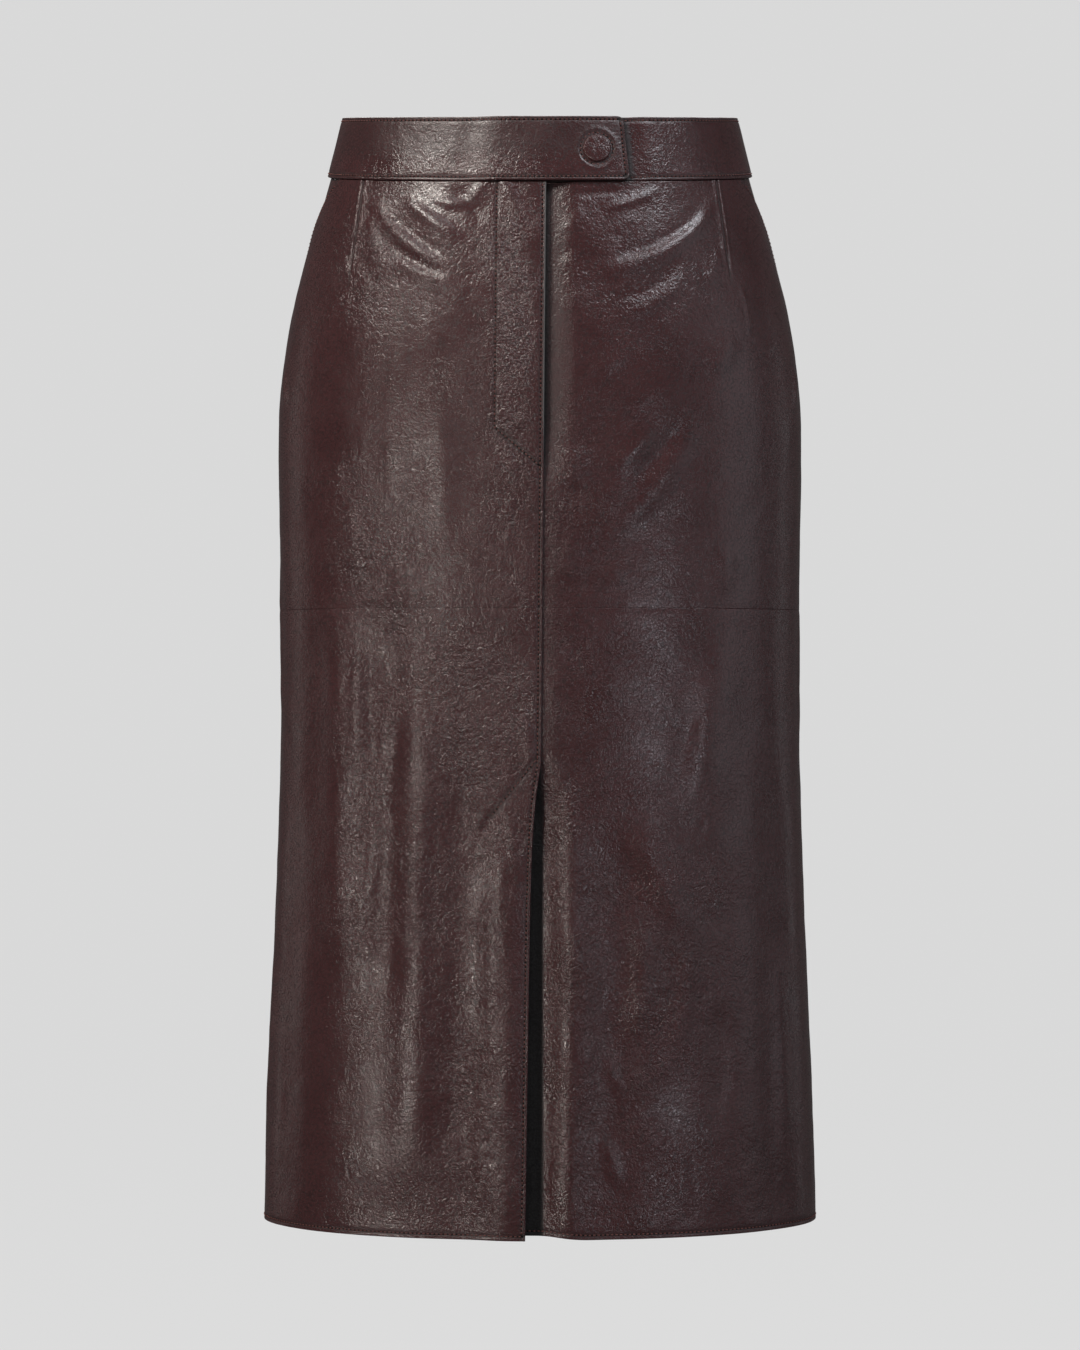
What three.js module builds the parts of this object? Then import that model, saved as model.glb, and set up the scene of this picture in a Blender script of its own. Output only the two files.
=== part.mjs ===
// A below-the-knee leather pencil skirt, hollow as it hangs when worn, in millimetres with +Z up.
// The front faces -Y. Left and right are the wearer's, so the right front is on the -X side.
// The origin is the middle of the waist, halfway down the waistband at the side seams.
//
// Every point of the leather is given by three numbers:
//   angle - degrees round the waist, 0 at the centre front and positive towards +X,
//   drop  - how far it lies below the waistband's top edge at the side seams,
//   lift  - how far it stands out from the bare shape of the skirt.
import * as THREE from "three";

// Driving sizes.
const LEATHER = 1.2; // one layer of leather
const BAND_WALL = 2.6; // the waistband is folded double over a stiffener
const BAND_LIFT = 0.9; // how far the waistband stands proud of the panels
const SEAM_GAP = 0.3; // clear space between neighbouring pieces
const ORIGIN_DROP = 20; // half the waistband's height at the side
const BAND_HEIGHT = 41;
const PIECING_SEAM_DROP = 342; // the level seam that joins upper and lower panels
const HEM_DROP = 763;
const UNDERLAP_HEM_RISE = 2; // the left front's hem is this much shorter where it runs behind
const SIDE_SEAM_ANGLE = 95; // a little behind the widest line
const SIDE_GAP_ANGLE = 0.1; // half the seam gap there, as an angle

// The waistline is lower at the front than at the side, and a little higher at the back.
const FRONT_DIP = { top: 13, bottom: 16 };
const BACK_RISE = 5;

// The bare shape: half its width, and how far it reaches forwards and backwards, at each drop.
const SECTIONS = [
  { drop: -10, half: 133.5, front: 91, back: 88 },
  { drop: 0, half: 136, front: 92, back: 90 },
  { drop: 41, half: 146.5, front: 97.5, back: 99 },
  { drop: 90, half: 160.3, front: 106, back: 113 },
  { drop: 140, half: 172.5, front: 112, back: 123.5 },
  { drop: 190, half: 179.8, front: 113.5, back: 129 },
  { drop: 235, half: 181.3, front: 113, back: 130 },
  { drop: 390, half: 179.2, front: 110.5, back: 120.5 },
  { drop: 540, half: 183.2, front: 109.5, back: 113 },
  { drop: 680, half: 189, front: 110, back: 110.5 },
  { drop: 763, half: 191.4, front: 110.5, back: 110 },
  { drop: 790, half: 192, front: 110.6, back: 110 },
];

// Soft folds: a ridge, or a trough where the height is negative, along a line from its upper end to
// its lower end. reach is how far it spreads to each side.
const FOLDS = [
  { angle: -50, drop: 350, toAngle: -45, toDrop: 610, reach: 17, height: 2.4 },
  { angle: -35, drop: 330, toAngle: -27, toDrop: 690, reach: 15, height: 2.2 },
  { angle: -40, drop: 420, toAngle: -37, toDrop: 640, reach: 9, height: -1.4 },
  { angle: -19, drop: 470, toAngle: -21, toDrop: 780, reach: 14, height: -1.8 },
  { angle: -11, drop: 500, toAngle: -12, toDrop: 790, reach: 12, height: 2.0 },
  { angle: 6, drop: 455, toAngle: 4, toDrop: 790, reach: 11, height: 2.6 },
  { angle: 17, drop: 470, toAngle: 14, toDrop: 790, reach: 15, height: -2.0 },
  { angle: 21, drop: 440, toAngle: 37, toDrop: 620, reach: 17, height: 2.0 },
  { angle: 45, drop: 330, toAngle: 38, toDrop: 520, reach: 15, height: 2.0 },
  { angle: 31, drop: 150, toAngle: 9, toDrop: 320, reach: 16, height: 1.6 },
  { angle: 60, drop: 430, toAngle: 57, toDrop: 790, reach: 20, height: -1.8 },
  { angle: -68, drop: 450, toAngle: -66, toDrop: 790, reach: 19, height: -1.8 },
  { angle: -34, drop: 70, toAngle: -14, toDrop: 118, reach: 11, height: 1.6 },
  { angle: 118, drop: 380, toAngle: 115, toDrop: 790, reach: 22, height: 2.4 },
  { angle: 137, drop: 300, toAngle: 141, toDrop: 790, reach: 20, height: -2.6 },
  { angle: 158, drop: 360, toAngle: 160, toDrop: 790, reach: 21, height: 2.6 },
  { angle: 181, drop: 330, toAngle: 179, toDrop: 790, reach: 19, height: -2.4 },
  { angle: 203, drop: 400, toAngle: 200, toDrop: 790, reach: 22, height: 2.6 },
  { angle: 224, drop: 320, toAngle: 221, toDrop: 790, reach: 20, height: -2.6 },
  { angle: 243, drop: 420, toAngle: 246, toDrop: 790, reach: 21, height: 2.2 },
  { angle: 172, drop: 225, toAngle: 198, toDrop: 262, reach: 12, height: -1.4 },
];
const FLAT_MM_PER_DEGREE = 2.7; // the leather's width for a degree, on average
const FOLD_END = 70; // the length over which a fold dies away
const FOLD_AT_LAP = { from: -4, to: 14 }; // folds fade in over this distance from the right front's edge

// The front closure. The right front laps over the left front from the waist to the hem.
const FLY_EDGE_X = 4.7; // the fly's edge at the waist seam
const SEAM_X = 0.7; // the centre seam just above the vent
const FLY_END_DROP = 247;
const VENT_DROP = 447;
const VENT_SWING = { quick: 7, quickLength: 35, slow: 3.5 }; // how far the vent's edge swings open
const LAP_LIFT = 0.9; // the right front stands out this far at its edge
const LAP_REACH = 38;
const VENT_FLARE = 3.2; // and this much more at the hem
const UNDERLAP = { fly: 32, seam: 10, vent: 33 }; // how far the left front runs on behind it
const UNDER_DEPTH = { seam: 0.8, fly: 3.8, vent: 6.5 }; // and how far in it lies there
const UNDER_REACH = { seam: 9, fly: 13, vent: 9 }; // the width over which it comes back out
const UNDER_START = 0.6; // it starts to come out this far past the centre line
const SETTLED = 3; // and lies level again this far past the end of that width
// The drops over which the fly and the vent pass into the plain seam between them.
const FLY_TO_SEAM = { width: [-10, 6], depth: [-30, 25] };
const SEAM_TO_VENT = [-5, 60];
const VENT_SLANT_DROP = 487; // where the vent's underlap has its full width

// The waistband's tab.
const TAB_END_X = 56;
const TAB_CORNER = 4;
const TAB_LIFT = 1.6; // the tab stands out over the end of the left band
const TAB_LIFT_X = { from: -50, to: -26 }; // it rises to that height between these two places
const UNDER_BAND_DEPTH = 1.4;
const UNDER_BAND_END_X = -22;
const UNDER_BAND_OUT_X = 57; // just past the tab the left band comes back out
const UNDER_BAND_REACH = 16;
const SNAP = { x: 37.5, drop: 35, radius: 9.2, height: 1.7, edge: 0.7, shoulder: 0.75 };
const SNAP_CLEAR = 0.55; // the band bows out under the flat back of the snap's cover

// Slanted hip pockets: the opening leaves the waist seam and runs back to the side seam.
const POCKET = { startAngle: 69, endDrop: 190, sweep: 4 };
const FACING = { underlap: 9, endDrop: 206, gap: 0.7 };

// Darts: each is a stitched pinch that starts at the waist seam.
const FRONT_DART = { topX: 119.5, pointX: 129.5, topDrop: 49, pointDrop: 123 };
const BACK_DART = { topX: 72, pointX: 80, topDrop: 41, pointDrop: 172 };
const DART = { depth: 1, halfAngle: 1.1, fade: 30 };

const ZIP = { fromX: -27, toX: -3, topDrop: 66, endDrop: 232, gap: 0.45, wall: 1.7 };

const COLOURS = { leather: 0x3c2426, facing: 0x392325, zip: 0x1d1718 };
const LEATHER_LOOK = { roughness: 0.38, metalness: 0 };

const radians = THREE.MathUtils.degToRad;
const degrees = THREE.MathUtils.radToDeg;
const sideEdgeAngle = SIDE_SEAM_ANGLE - SIDE_GAP_ANGLE;
const backEdgeAngle = SIDE_SEAM_ANGLE + SIDE_GAP_ANGLE;

function ease(from, to, value) {
  return THREE.MathUtils.smoothstep(value, from, to);
}

// One column of the section table at any drop, on a smooth curve through the rows.
function section(column, drop) {
  const last = SECTIONS.length - 2;
  let i = 0;
  while (i < last && drop > SECTIONS[i + 1].drop) i += 1;
  const slope = (k) => {
    const a = SECTIONS[Math.max(k - 1, 0)];
    const b = SECTIONS[Math.min(k + 1, SECTIONS.length - 1)];
    return (b[column] - a[column]) / (b.drop - a.drop);
  };
  const from = SECTIONS[i];
  const to = SECTIONS[i + 1];
  const span = to.drop - from.drop;
  const t = (drop - from.drop) / span;
  const leave = (1 + 2 * t) * (1 - t) ** 2 * from[column] + t * (1 - t) ** 2 * span * slope(i);
  const arrive = t * t * (3 - 2 * t) * to[column] + t * t * (t - 1) * span * slope(i + 1);
  return leave + arrive;
}

function barePoint(angle, drop) {
  const turn = radians(angle);
  const depth = section(Math.cos(turn) > 0 ? "front" : "back", drop);
  return new THREE.Vector3(
    section("half", drop) * Math.sin(turn),
    -depth * Math.cos(turn),
    ORIGIN_DROP - drop,
  );
}

function outward(angle, drop) {
  const step = 0.5;
  const round = barePoint(angle + step, drop).sub(barePoint(angle - step, drop));
  const down = barePoint(angle, drop + step).sub(barePoint(angle, drop - step));
  return down.cross(round).normalize();
}

// How far the folds move the leather out or in at a place.
function foldLift(angle, drop) {
  let total = 0;
  for (const fold of FOLDS) {
    const along = new THREE.Vector2(
      (fold.toAngle - fold.angle) * FLAT_MM_PER_DEGREE,
      fold.toDrop - fold.drop,
    );
    const turns = Math.round((fold.angle - angle) / 360);
    const place = new THREE.Vector2(
      (angle + 360 * turns - fold.angle) * FLAT_MM_PER_DEGREE,
      drop - fold.drop,
    );
    const length = along.length();
    along.divideScalar(length);
    const travelled = place.dot(along);
    const aside = Math.abs(place.cross(along)) / fold.reach;
    const end = Math.min(FOLD_END, length / 2);
    const strength = ease(0, end, travelled) * (1 - ease(length - end, length, travelled));
    total += fold.height * strength * Math.exp(-aside * aside);
  }
  return total;
}

function leatherPoint(angle, drop, lift) {
  const out = outward(angle, drop);
  return barePoint(angle, drop).addScaledVector(out, lift);
}

function angleAt(x, drop) {
  return degrees(Math.asin(x / section("half", drop)));
}

function xAt(angle, drop) {
  return section("half", drop) * Math.sin(radians(angle));
}

function dip(angle, frontDip) {
  const share = Math.cos(radians(angle));
  return share * (share > 0 ? frontDip : BACK_RISE);
}

const bandTop = (angle) => dip(angle, FRONT_DIP.top);
const bandBottom = (angle) => BAND_HEIGHT + dip(angle, FRONT_DIP.bottom);
const panelTop = (angle) => bandBottom(angle) + SEAM_GAP;

// The centre front line, straight from the fly's edge at the waist to the vent and on to the hem.
function centreX(drop) {
  const share = THREE.MathUtils.clamp(drop / VENT_DROP, 0, 1);
  return THREE.MathUtils.lerp(FLY_EDGE_X, SEAM_X, share);
}

// The right front's edge: on the centre line down to the vent, where it swings away.
function lapEdgeX(drop) {
  const below = Math.max(drop - VENT_DROP, 0);
  const quick = VENT_SWING.quick * (1 - Math.exp(-below / VENT_SWING.quickLength));
  const slow = VENT_SWING.slow * (below / (HEM_DROP - VENT_DROP)) ** 1.5;
  return centreX(drop) - quick - slow;
}

// The left front's edge, hidden behind the right front.
function underEdgeX(drop) {
  const [narrowFrom, narrowTo] = FLY_TO_SEAM.width;
  const flyShare = 1 - ease(FLY_END_DROP + narrowFrom, FLY_END_DROP + narrowTo, drop);
  const ventShare = THREE.MathUtils.clamp((drop - VENT_DROP) / (VENT_SLANT_DROP - VENT_DROP), 0, 1);
  const fly = (UNDERLAP.fly - UNDERLAP.seam) * flyShare;
  const vent = (UNDERLAP.vent - UNDERLAP.seam) * ventShare;
  return centreX(drop) - UNDERLAP.seam - fly - vent;
}

// A value that differs between the fly, the seam below it and the vent.
function byZone(values, drop) {
  const [shallowFrom, shallowTo] = FLY_TO_SEAM.depth;
  const [deepFrom, deepTo] = SEAM_TO_VENT;
  const inFly = 1 - ease(FLY_END_DROP + shallowFrom, FLY_END_DROP + shallowTo, drop);
  const inVent = ease(VENT_DROP + deepFrom, VENT_DROP + deepTo, drop);
  return values.seam + (values.fly - values.seam) * inFly + (values.vent - values.seam) * inVent;
}

function lapLift(angle, drop) {
  const back = lapEdgeX(drop) - xAt(angle, drop);
  const nearEdge = 1 - ease(0, LAP_REACH, back);
  const flare = VENT_FLARE * ease(VENT_DROP, HEM_DROP, drop);
  const folded = foldLift(angle, drop) * ease(FOLD_AT_LAP.from, FOLD_AT_LAP.to, back);
  return (LAP_LIFT + flare) * nearEdge + folded;
}

function underLift(angle, drop) {
  const past = xAt(angle, drop) - centreX(drop) - UNDER_START;
  const outAgain = ease(0, byZone(UNDER_REACH, drop), past);
  return -byZone(UNDER_DEPTH, drop) * (1 - outAgain) + foldLift(angle, drop) * outAgain;
}

// A dart pinches the leather in on its line, deepest at the waist seam and fading at its point.
function dartLine(dart, side) {
  return (drop) => {
    const share = (Math.min(drop, dart.pointDrop) - dart.topDrop) / (dart.pointDrop - dart.topDrop);
    const x = THREE.MathUtils.lerp(dart.topX, dart.pointX, Math.max(share, 0));
    return side * angleAt(x, Math.min(drop, dart.pointDrop));
  };
}

function pinch(line, dart, angle, drop) {
  const aside = Math.abs(angle - line(drop)) / DART.halfAngle;
  const strength = 1 - ease(dart.pointDrop - DART.fade, dart.pointDrop, drop);
  return -DART.depth * Math.max(0, 1 - aside) * strength;
}

function pocketEdge(side) {
  return (drop) => {
    const top = panelTop(POCKET.startAngle);
    const share = THREE.MathUtils.clamp((drop - top) / (POCKET.endDrop - top), 0, 1);
    const reached = 1 - (1 - share) ** POCKET.sweep;
    return side * THREE.MathUtils.lerp(POCKET.startAngle, sideEdgeAngle, reached);
  };
}

// Places from the first stop to the last, with the stated steps up to each later stop.
// A stop is a number, or a line that gives an angle for a drop.
function stations(stops) {
  const valueOf = (stop) => (typeof stop === "function" ? stop : () => stop);
  const lines = [valueOf(stops[0].at)];
  for (let i = 1; i < stops.length; i += 1) {
    const from = valueOf(stops[i - 1].at);
    const to = valueOf(stops[i].at);
    for (let k = 1; k <= stops[i].steps; k += 1) {
      lines.push((drop) => THREE.MathUtils.lerp(from(drop), to(drop), k / stops[i].steps));
    }
  }
  return lines;
}

// A closed wall of leather: an outer grid, the same grid moved in by the wall, and a rim round both.
// edgeTop and edgeBottom give the drop of its upper and lower edge at an angle.
function panel(name, { columns, rows, edgeTop, edgeBottom, lift, wall, colour }) {
  const levels = stations(rows).map((level) => level(0));
  const first = levels[0];
  const span = levels[levels.length - 1] - first;
  const lines = stations(columns);
  const outer = [];
  const inner = [];
  for (const level of levels) {
    const share = (level - first) / span;
    for (const line of lines) {
      let drop = level;
      for (let pass = 0; pass < 3; pass += 1) {
        const angle = line(drop);
        drop = THREE.MathUtils.lerp(edgeTop(angle), edgeBottom(angle), share);
      }
      const angle = line(drop);
      outer.push(...leatherPoint(angle, drop, lift(angle, drop)));
      inner.push(...leatherPoint(angle, drop, lift(angle, drop) - wall));
    }
  }
  const across = lines.length;
  const down = levels.length;
  const out = (i, j) => i * across + j;
  const inn = (i, j) => across * down + i * across + j;
  const faces = [];
  const quad = (a, b, c, d) => faces.push(a, b, c, a, c, d);
  for (let i = 0; i < down - 1; i += 1) {
    for (let j = 0; j < across - 1; j += 1) {
      quad(out(i, j), out(i + 1, j), out(i + 1, j + 1), out(i, j + 1));
      quad(inn(i, j), inn(i, j + 1), inn(i + 1, j + 1), inn(i + 1, j));
    }
    quad(out(i + 1, 0), out(i, 0), inn(i, 0), inn(i + 1, 0));
    quad(out(i, across - 1), out(i + 1, across - 1), inn(i + 1, across - 1), inn(i, across - 1));
  }
  for (let j = 0; j < across - 1; j += 1) {
    quad(out(0, j), out(0, j + 1), inn(0, j + 1), inn(0, j));
    quad(out(down - 1, j + 1), out(down - 1, j), inn(down - 1, j), inn(down - 1, j + 1));
  }
  const geometry = new THREE.BufferGeometry();
  geometry.setAttribute("position", new THREE.Float32BufferAttribute([...outer, ...inner], 3));
  geometry.setIndex(faces);
  geometry.computeVertexNormals();
  return meshOf(name, geometry, colour);
}

function meshOf(name, geometry, colour) {
  const material = new THREE.MeshStandardMaterial({ color: colour, ...LEATHER_LOOK });
  const mesh = new THREE.Mesh(geometry, material);
  mesh.name = name;
  return mesh;
}

const UPPER_ROWS = [
  { at: BAND_HEIGHT },
  { at: 125, steps: 4 },
  { at: 197, steps: 3 },
  { at: 265, steps: 4 },
  { at: PIECING_SEAM_DROP, steps: 3 },
];
const LOWER_ROWS = [
  { at: PIECING_SEAM_DROP },
  { at: VENT_DROP, steps: 4 },
  { at: VENT_SLANT_DROP, steps: 3 },
  { at: 550, steps: 2 },
  { at: HEM_DROP, steps: 7 },
];
const BACK_UPPER_ROWS = [{ at: BAND_HEIGHT }, { at: PIECING_SEAM_DROP, steps: 12 }];
const BACK_LOWER_ROWS = [{ at: PIECING_SEAM_DROP }, { at: HEM_DROP, steps: 13 }];
const upperBottom = () => PIECING_SEAM_DROP - SEAM_GAP / 2;
const lowerTop = () => PIECING_SEAM_DROP + SEAM_GAP / 2;
const hem = () => HEM_DROP;
const leftHem = (angle) => {
  const past = xAt(angle, HEM_DROP) - centreX(HEM_DROP);
  return HEM_DROP - UNDERLAP_HEM_RISE * (1 - ease(0, UNDERLAP.vent, past));
};
const lineAtX = (xOf) => (drop) => angleAt(xOf(drop), drop);

// The front panels. side is -1 for the right front, which laps over, and 1 for the left, which runs under.
function frontUpper(name, side) {
  const dart = dartLine(FRONT_DART, side);
  const beside = (turn) => (drop) => dart(drop) + turn * DART.halfAngle;
  const pocket = pocketEdge(side);
  const lapping = side < 0;
  const nearCentre = lapping
    ? [
        { at: lineAtX((drop) => lapEdgeX(drop) - LAP_REACH), steps: 7 },
        { at: lineAtX(lapEdgeX), steps: 5 },
      ]
    : [
        { at: lineAtX(underEdgeX) },
        { at: lineAtX((drop) => centreX(drop) + UNDER_START), steps: 4 },
        { at: lineAtX((drop) => centreX(drop) + UNDER_REACH.fly + SETTLED), steps: 5 },
      ];
  const columns = lapping
    ? [
        { at: pocket },
        { at: beside(-1), steps: 8 },
        { at: dart, steps: 1 },
        { at: beside(1), steps: 1 },
        ...nearCentre,
      ]
    : [
        ...nearCentre,
        { at: beside(-1), steps: 9 },
        { at: dart, steps: 1 },
        { at: beside(1), steps: 1 },
        { at: pocket, steps: 8 },
      ];
  const bare = lapping ? lapLift : underLift;
  return panel(name, {
    columns,
    rows: UPPER_ROWS,
    edgeTop: panelTop,
    edgeBottom: upperBottom,
    lift: (angle, drop) => bare(angle, drop) + pinch(dart, FRONT_DART, angle, drop),
    wall: LEATHER,
    colour: COLOURS.leather,
  });
}

function frontLower(name, side) {
  const columns =
    side < 0
      ? [
          { at: -sideEdgeAngle },
          { at: lineAtX((drop) => lapEdgeX(drop) - LAP_REACH), steps: 15 },
          { at: lineAtX(lapEdgeX), steps: 4 },
        ]
      : [
          { at: lineAtX(underEdgeX) },
          { at: lineAtX((drop) => centreX(drop) + UNDER_START), steps: 4 },
          { at: lineAtX((drop) => centreX(drop) + UNDER_REACH.vent + SETTLED), steps: 4 },
          { at: sideEdgeAngle, steps: 16 },
        ];
  return panel(name, {
    columns,
    rows: LOWER_ROWS,
    edgeTop: lowerTop,
    edgeBottom: side < 0 ? hem : leftHem,
    lift: side < 0 ? lapLift : underLift,
    wall: LEATHER,
    colour: COLOURS.leather,
  });
}

// The back is one width of leather, with a dart on each side of the middle.
function backUpper() {
  const darts = [-1, 1].map((side) => {
    const fromMiddle = dartLine(BACK_DART, side);
    return (drop) => 180 + fromMiddle(drop);
  });
  const beside = (line, turn) => (drop) => line(drop) + turn * DART.halfAngle;
  const pinched = (line) => [
    { at: line, steps: 1 },
    { at: beside(line, 1), steps: 1 },
  ];
  return panel("back_upper", {
    columns: [
      { at: backEdgeAngle },
      { at: beside(darts[0], -1), steps: 9 },
      ...pinched(darts[0]),
      { at: beside(darts[1], -1), steps: 9 },
      ...pinched(darts[1]),
      { at: 360 - backEdgeAngle, steps: 9 },
    ],
    rows: BACK_UPPER_ROWS,
    edgeTop: panelTop,
    edgeBottom: upperBottom,
    lift: (angle, drop) => {
      const pinches = darts.map((line) => pinch(line, BACK_DART, angle, drop));
      return foldLift(angle, drop) + pinches[0] + pinches[1];
    },
    wall: LEATHER,
    colour: COLOURS.leather,
  });
}

function backLower() {
  return panel("back_lower", {
    columns: [{ at: backEdgeAngle }, { at: 360 - backEdgeAngle, steps: 32 }],
    rows: BACK_LOWER_ROWS,
    edgeTop: lowerTop,
    edgeBottom: hem,
    lift: foldLift,
    wall: LEATHER,
    colour: COLOURS.leather,
  });
}

// The strip of leather that shows inside a pocket's opening. It lies behind the front panel.
function pocketFacing(name, side) {
  const edge = pocketEdge(side);
  const hidden = (drop) => edge(drop) - side * FACING.underlap;
  const seam = side * sideEdgeAngle;
  const columns = [
    { at: side < 0 ? seam : hidden },
    { at: side < 0 ? hidden : seam, steps: 8 },
  ];
  return panel(name, {
    columns,
    rows: [{ at: BAND_HEIGHT }, { at: 125, steps: 4 }, { at: FACING.endDrop, steps: 3 }],
    edgeTop: panelTop,
    edgeBottom: () => FACING.endDrop,
    lift: (angle, drop) => foldLift(angle, drop) - LEATHER - FACING.gap,
    wall: LEATHER,
    colour: COLOURS.facing,
  });
}

const BAND_ROWS = [{ at: 0 }, { at: BAND_HEIGHT, steps: 3 }];

function bandBack() {
  return panel("waistband_back", {
    columns: [{ at: backEdgeAngle }, { at: 360 - backEdgeAngle, steps: 30 }],
    rows: BAND_ROWS,
    edgeTop: bandTop,
    edgeBottom: bandBottom,
    lift: () => BAND_LIFT,
    wall: BAND_WALL,
    colour: COLOURS.leather,
  });
}

// The right band runs on past the centre as a tab with round corners, over the end of the left band.
function bandRight() {
  const tabX = (angle) => xAt(angle, ORIGIN_DROP);
  const fromEnd = (x) => angleAt(TAB_END_X - x, ORIGIN_DROP);
  const rounding = (angle) => {
    const into = THREE.MathUtils.clamp(tabX(angle) - (TAB_END_X - TAB_CORNER), 0, TAB_CORNER);
    return TAB_CORNER - Math.sqrt(TAB_CORNER ** 2 - into ** 2);
  };
  // Columns round the corner, at equal turns of its quarter circle.
  const corner = [30, 60, 90].map((turn) => {
    return { at: fromEnd(TAB_CORNER * (1 - Math.sin(radians(turn)))), steps: 1 };
  });
  return panel("waistband_right", {
    columns: [
      { at: -sideEdgeAngle },
      { at: angleAt(TAB_LIFT_X.from, ORIGIN_DROP), steps: 12 },
      { at: fromEnd(TAB_CORNER), steps: 11 },
      ...corner,
    ],
    rows: BAND_ROWS,
    edgeTop: (angle) => bandTop(angle) + rounding(angle),
    edgeBottom: (angle) => bandBottom(angle) - rounding(angle),
    lift: (angle) => BAND_LIFT + TAB_LIFT * ease(TAB_LIFT_X.from, TAB_LIFT_X.to, tabX(angle)),
    wall: BAND_WALL,
    colour: COLOURS.leather,
  });
}

function bandLeft() {
  const bandX = (angle) => xAt(angle, ORIGIN_DROP);
  return panel("waistband_left", {
    columns: [
      { at: angleAt(UNDER_BAND_END_X, ORIGIN_DROP) },
      { at: angleAt(UNDER_BAND_OUT_X, ORIGIN_DROP), steps: 8 },
      { at: angleAt(UNDER_BAND_OUT_X + UNDER_BAND_REACH, ORIGIN_DROP), steps: 4 },
      { at: sideEdgeAngle, steps: 12 },
    ],
    rows: BAND_ROWS,
    edgeTop: bandTop,
    edgeBottom: bandBottom,
    lift: (angle) => {
      const past = bandX(angle) - UNDER_BAND_OUT_X;
      return BAND_LIFT - UNDER_BAND_DEPTH * (1 - ease(0, UNDER_BAND_REACH, past));
    },
    wall: BAND_WALL,
    colour: COLOURS.leather,
  });
}

// The snap's cap shows as a low round dome on the tab.
function snapCover() {
  const { x, drop, radius, height, edge, shoulder } = SNAP;
  const crown = new THREE.Path().moveTo(0, 0).lineTo(radius, 0).lineTo(radius, edge);
  crown.quadraticCurveTo(radius * shoulder, height, 0, height);
  const geometry = new THREE.LatheGeometry(crown.getPoints(5), 28);
  const mesh = meshOf("snap_cover", geometry, COLOURS.leather);
  const angle = angleAt(x, drop);
  mesh.position.copy(leatherPoint(angle, drop, BAND_LIFT + TAB_LIFT + SNAP_CLEAR));
  mesh.quaternion.setFromUnitVectors(new THREE.Vector3(0, 1, 0), outward(angle, drop));
  return mesh;
}

// The closed zip, as one strip between the fly and the leather behind it.
function flyZip() {
  return panel("fly_zip", {
    columns: [
      { at: lineAtX((drop) => centreX(drop) + ZIP.fromX) },
      { at: lineAtX((drop) => centreX(drop) + ZIP.toX), steps: 4 },
    ],
    rows: [{ at: ZIP.topDrop }, { at: ZIP.endDrop, steps: 7 }],
    edgeTop: () => ZIP.topDrop,
    edgeBottom: () => ZIP.endDrop,
    lift: (angle, drop) => lapLift(angle, drop) - LEATHER - ZIP.gap,
    wall: ZIP.wall,
    colour: COLOURS.zip,
  });
}

const skirt = new THREE.Group();
skirt.name = "leather_skirt";
skirt.add(
  bandRight(),
  bandLeft(),
  bandBack(),
  frontUpper("front_right_upper", -1),
  frontUpper("front_left_upper", 1),
  frontLower("front_right_lower", -1),
  frontLower("front_left_lower", 1),
  backUpper(),
  backLower(),
  pocketFacing("pocket_facing_right", -1),
  pocketFacing("pocket_facing_left", 1),
  snapCover(),
  flyZip(),
);

export default skirt;
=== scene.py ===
import math
from functools import partial

import bpy
import numpy as np
from bpy.props import FloatProperty, FloatVectorProperty, PointerProperty
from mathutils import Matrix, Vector


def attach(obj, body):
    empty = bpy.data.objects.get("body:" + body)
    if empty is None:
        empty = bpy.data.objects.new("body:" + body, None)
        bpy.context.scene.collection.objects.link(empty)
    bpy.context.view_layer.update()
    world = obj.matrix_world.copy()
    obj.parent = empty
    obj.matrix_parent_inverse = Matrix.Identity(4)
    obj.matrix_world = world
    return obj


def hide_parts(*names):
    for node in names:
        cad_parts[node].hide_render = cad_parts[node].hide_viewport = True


bl_info = {
    "name": "Leather pencil skirt",
    "version": (1, 0, 0),
    "blender": (4, 5, 0),
    "location": "3D View > Sidebar > Skirt",
    "description": "Dresses the packed skirt: creased leather panels, stitching, snap and a plain studio",
    "category": "Object",
}

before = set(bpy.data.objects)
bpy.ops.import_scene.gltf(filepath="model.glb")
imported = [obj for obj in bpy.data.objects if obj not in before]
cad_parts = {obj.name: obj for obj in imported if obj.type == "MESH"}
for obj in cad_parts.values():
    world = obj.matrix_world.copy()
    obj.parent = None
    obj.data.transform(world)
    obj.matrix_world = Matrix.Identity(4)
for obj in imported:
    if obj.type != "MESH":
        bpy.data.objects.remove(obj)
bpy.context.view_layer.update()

# Shapes are worked out in millimetres, in the skirt's own terms, and put into the mesh in metres:
#   angle - degrees round the waist, 0 at the centre front and positive towards +X,
#   drop  - how far a point lies below the waistband's top edge at the side seams,
#   lift  - how far it stands out from the bare shape of the skirt.
# Left and right are the wearer's, so the right front is on the -X side.
METRES = 0.001
ORIGIN_DROP = 20.0
BAND_HEIGHT = 41.0
BAND_LIFT = 0.9
# Painted shade over the right band's upper half, to dim its highlight, and the drops below the band's top
# over which it fades.
BAND_SHADE = 0.2
BAND_SHADE_DROP = (20.0, 34.0)
SEAM_GAP = 0.3
PIECING_GAP = 0.06
PIECING_SEAM_DROP = 342.0
HEM_DROP = 763.0
SIDE_SEAM_ANGLE = 95.0
SIDE_GAP_ANGLE = 0.01
FRONT_DIP_TOP = 13.0
FRONT_DIP_BOTTOM = 16.0
BACK_RISE = 5.0
UNDERLAP_HEM_RISE = 2.0

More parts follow.
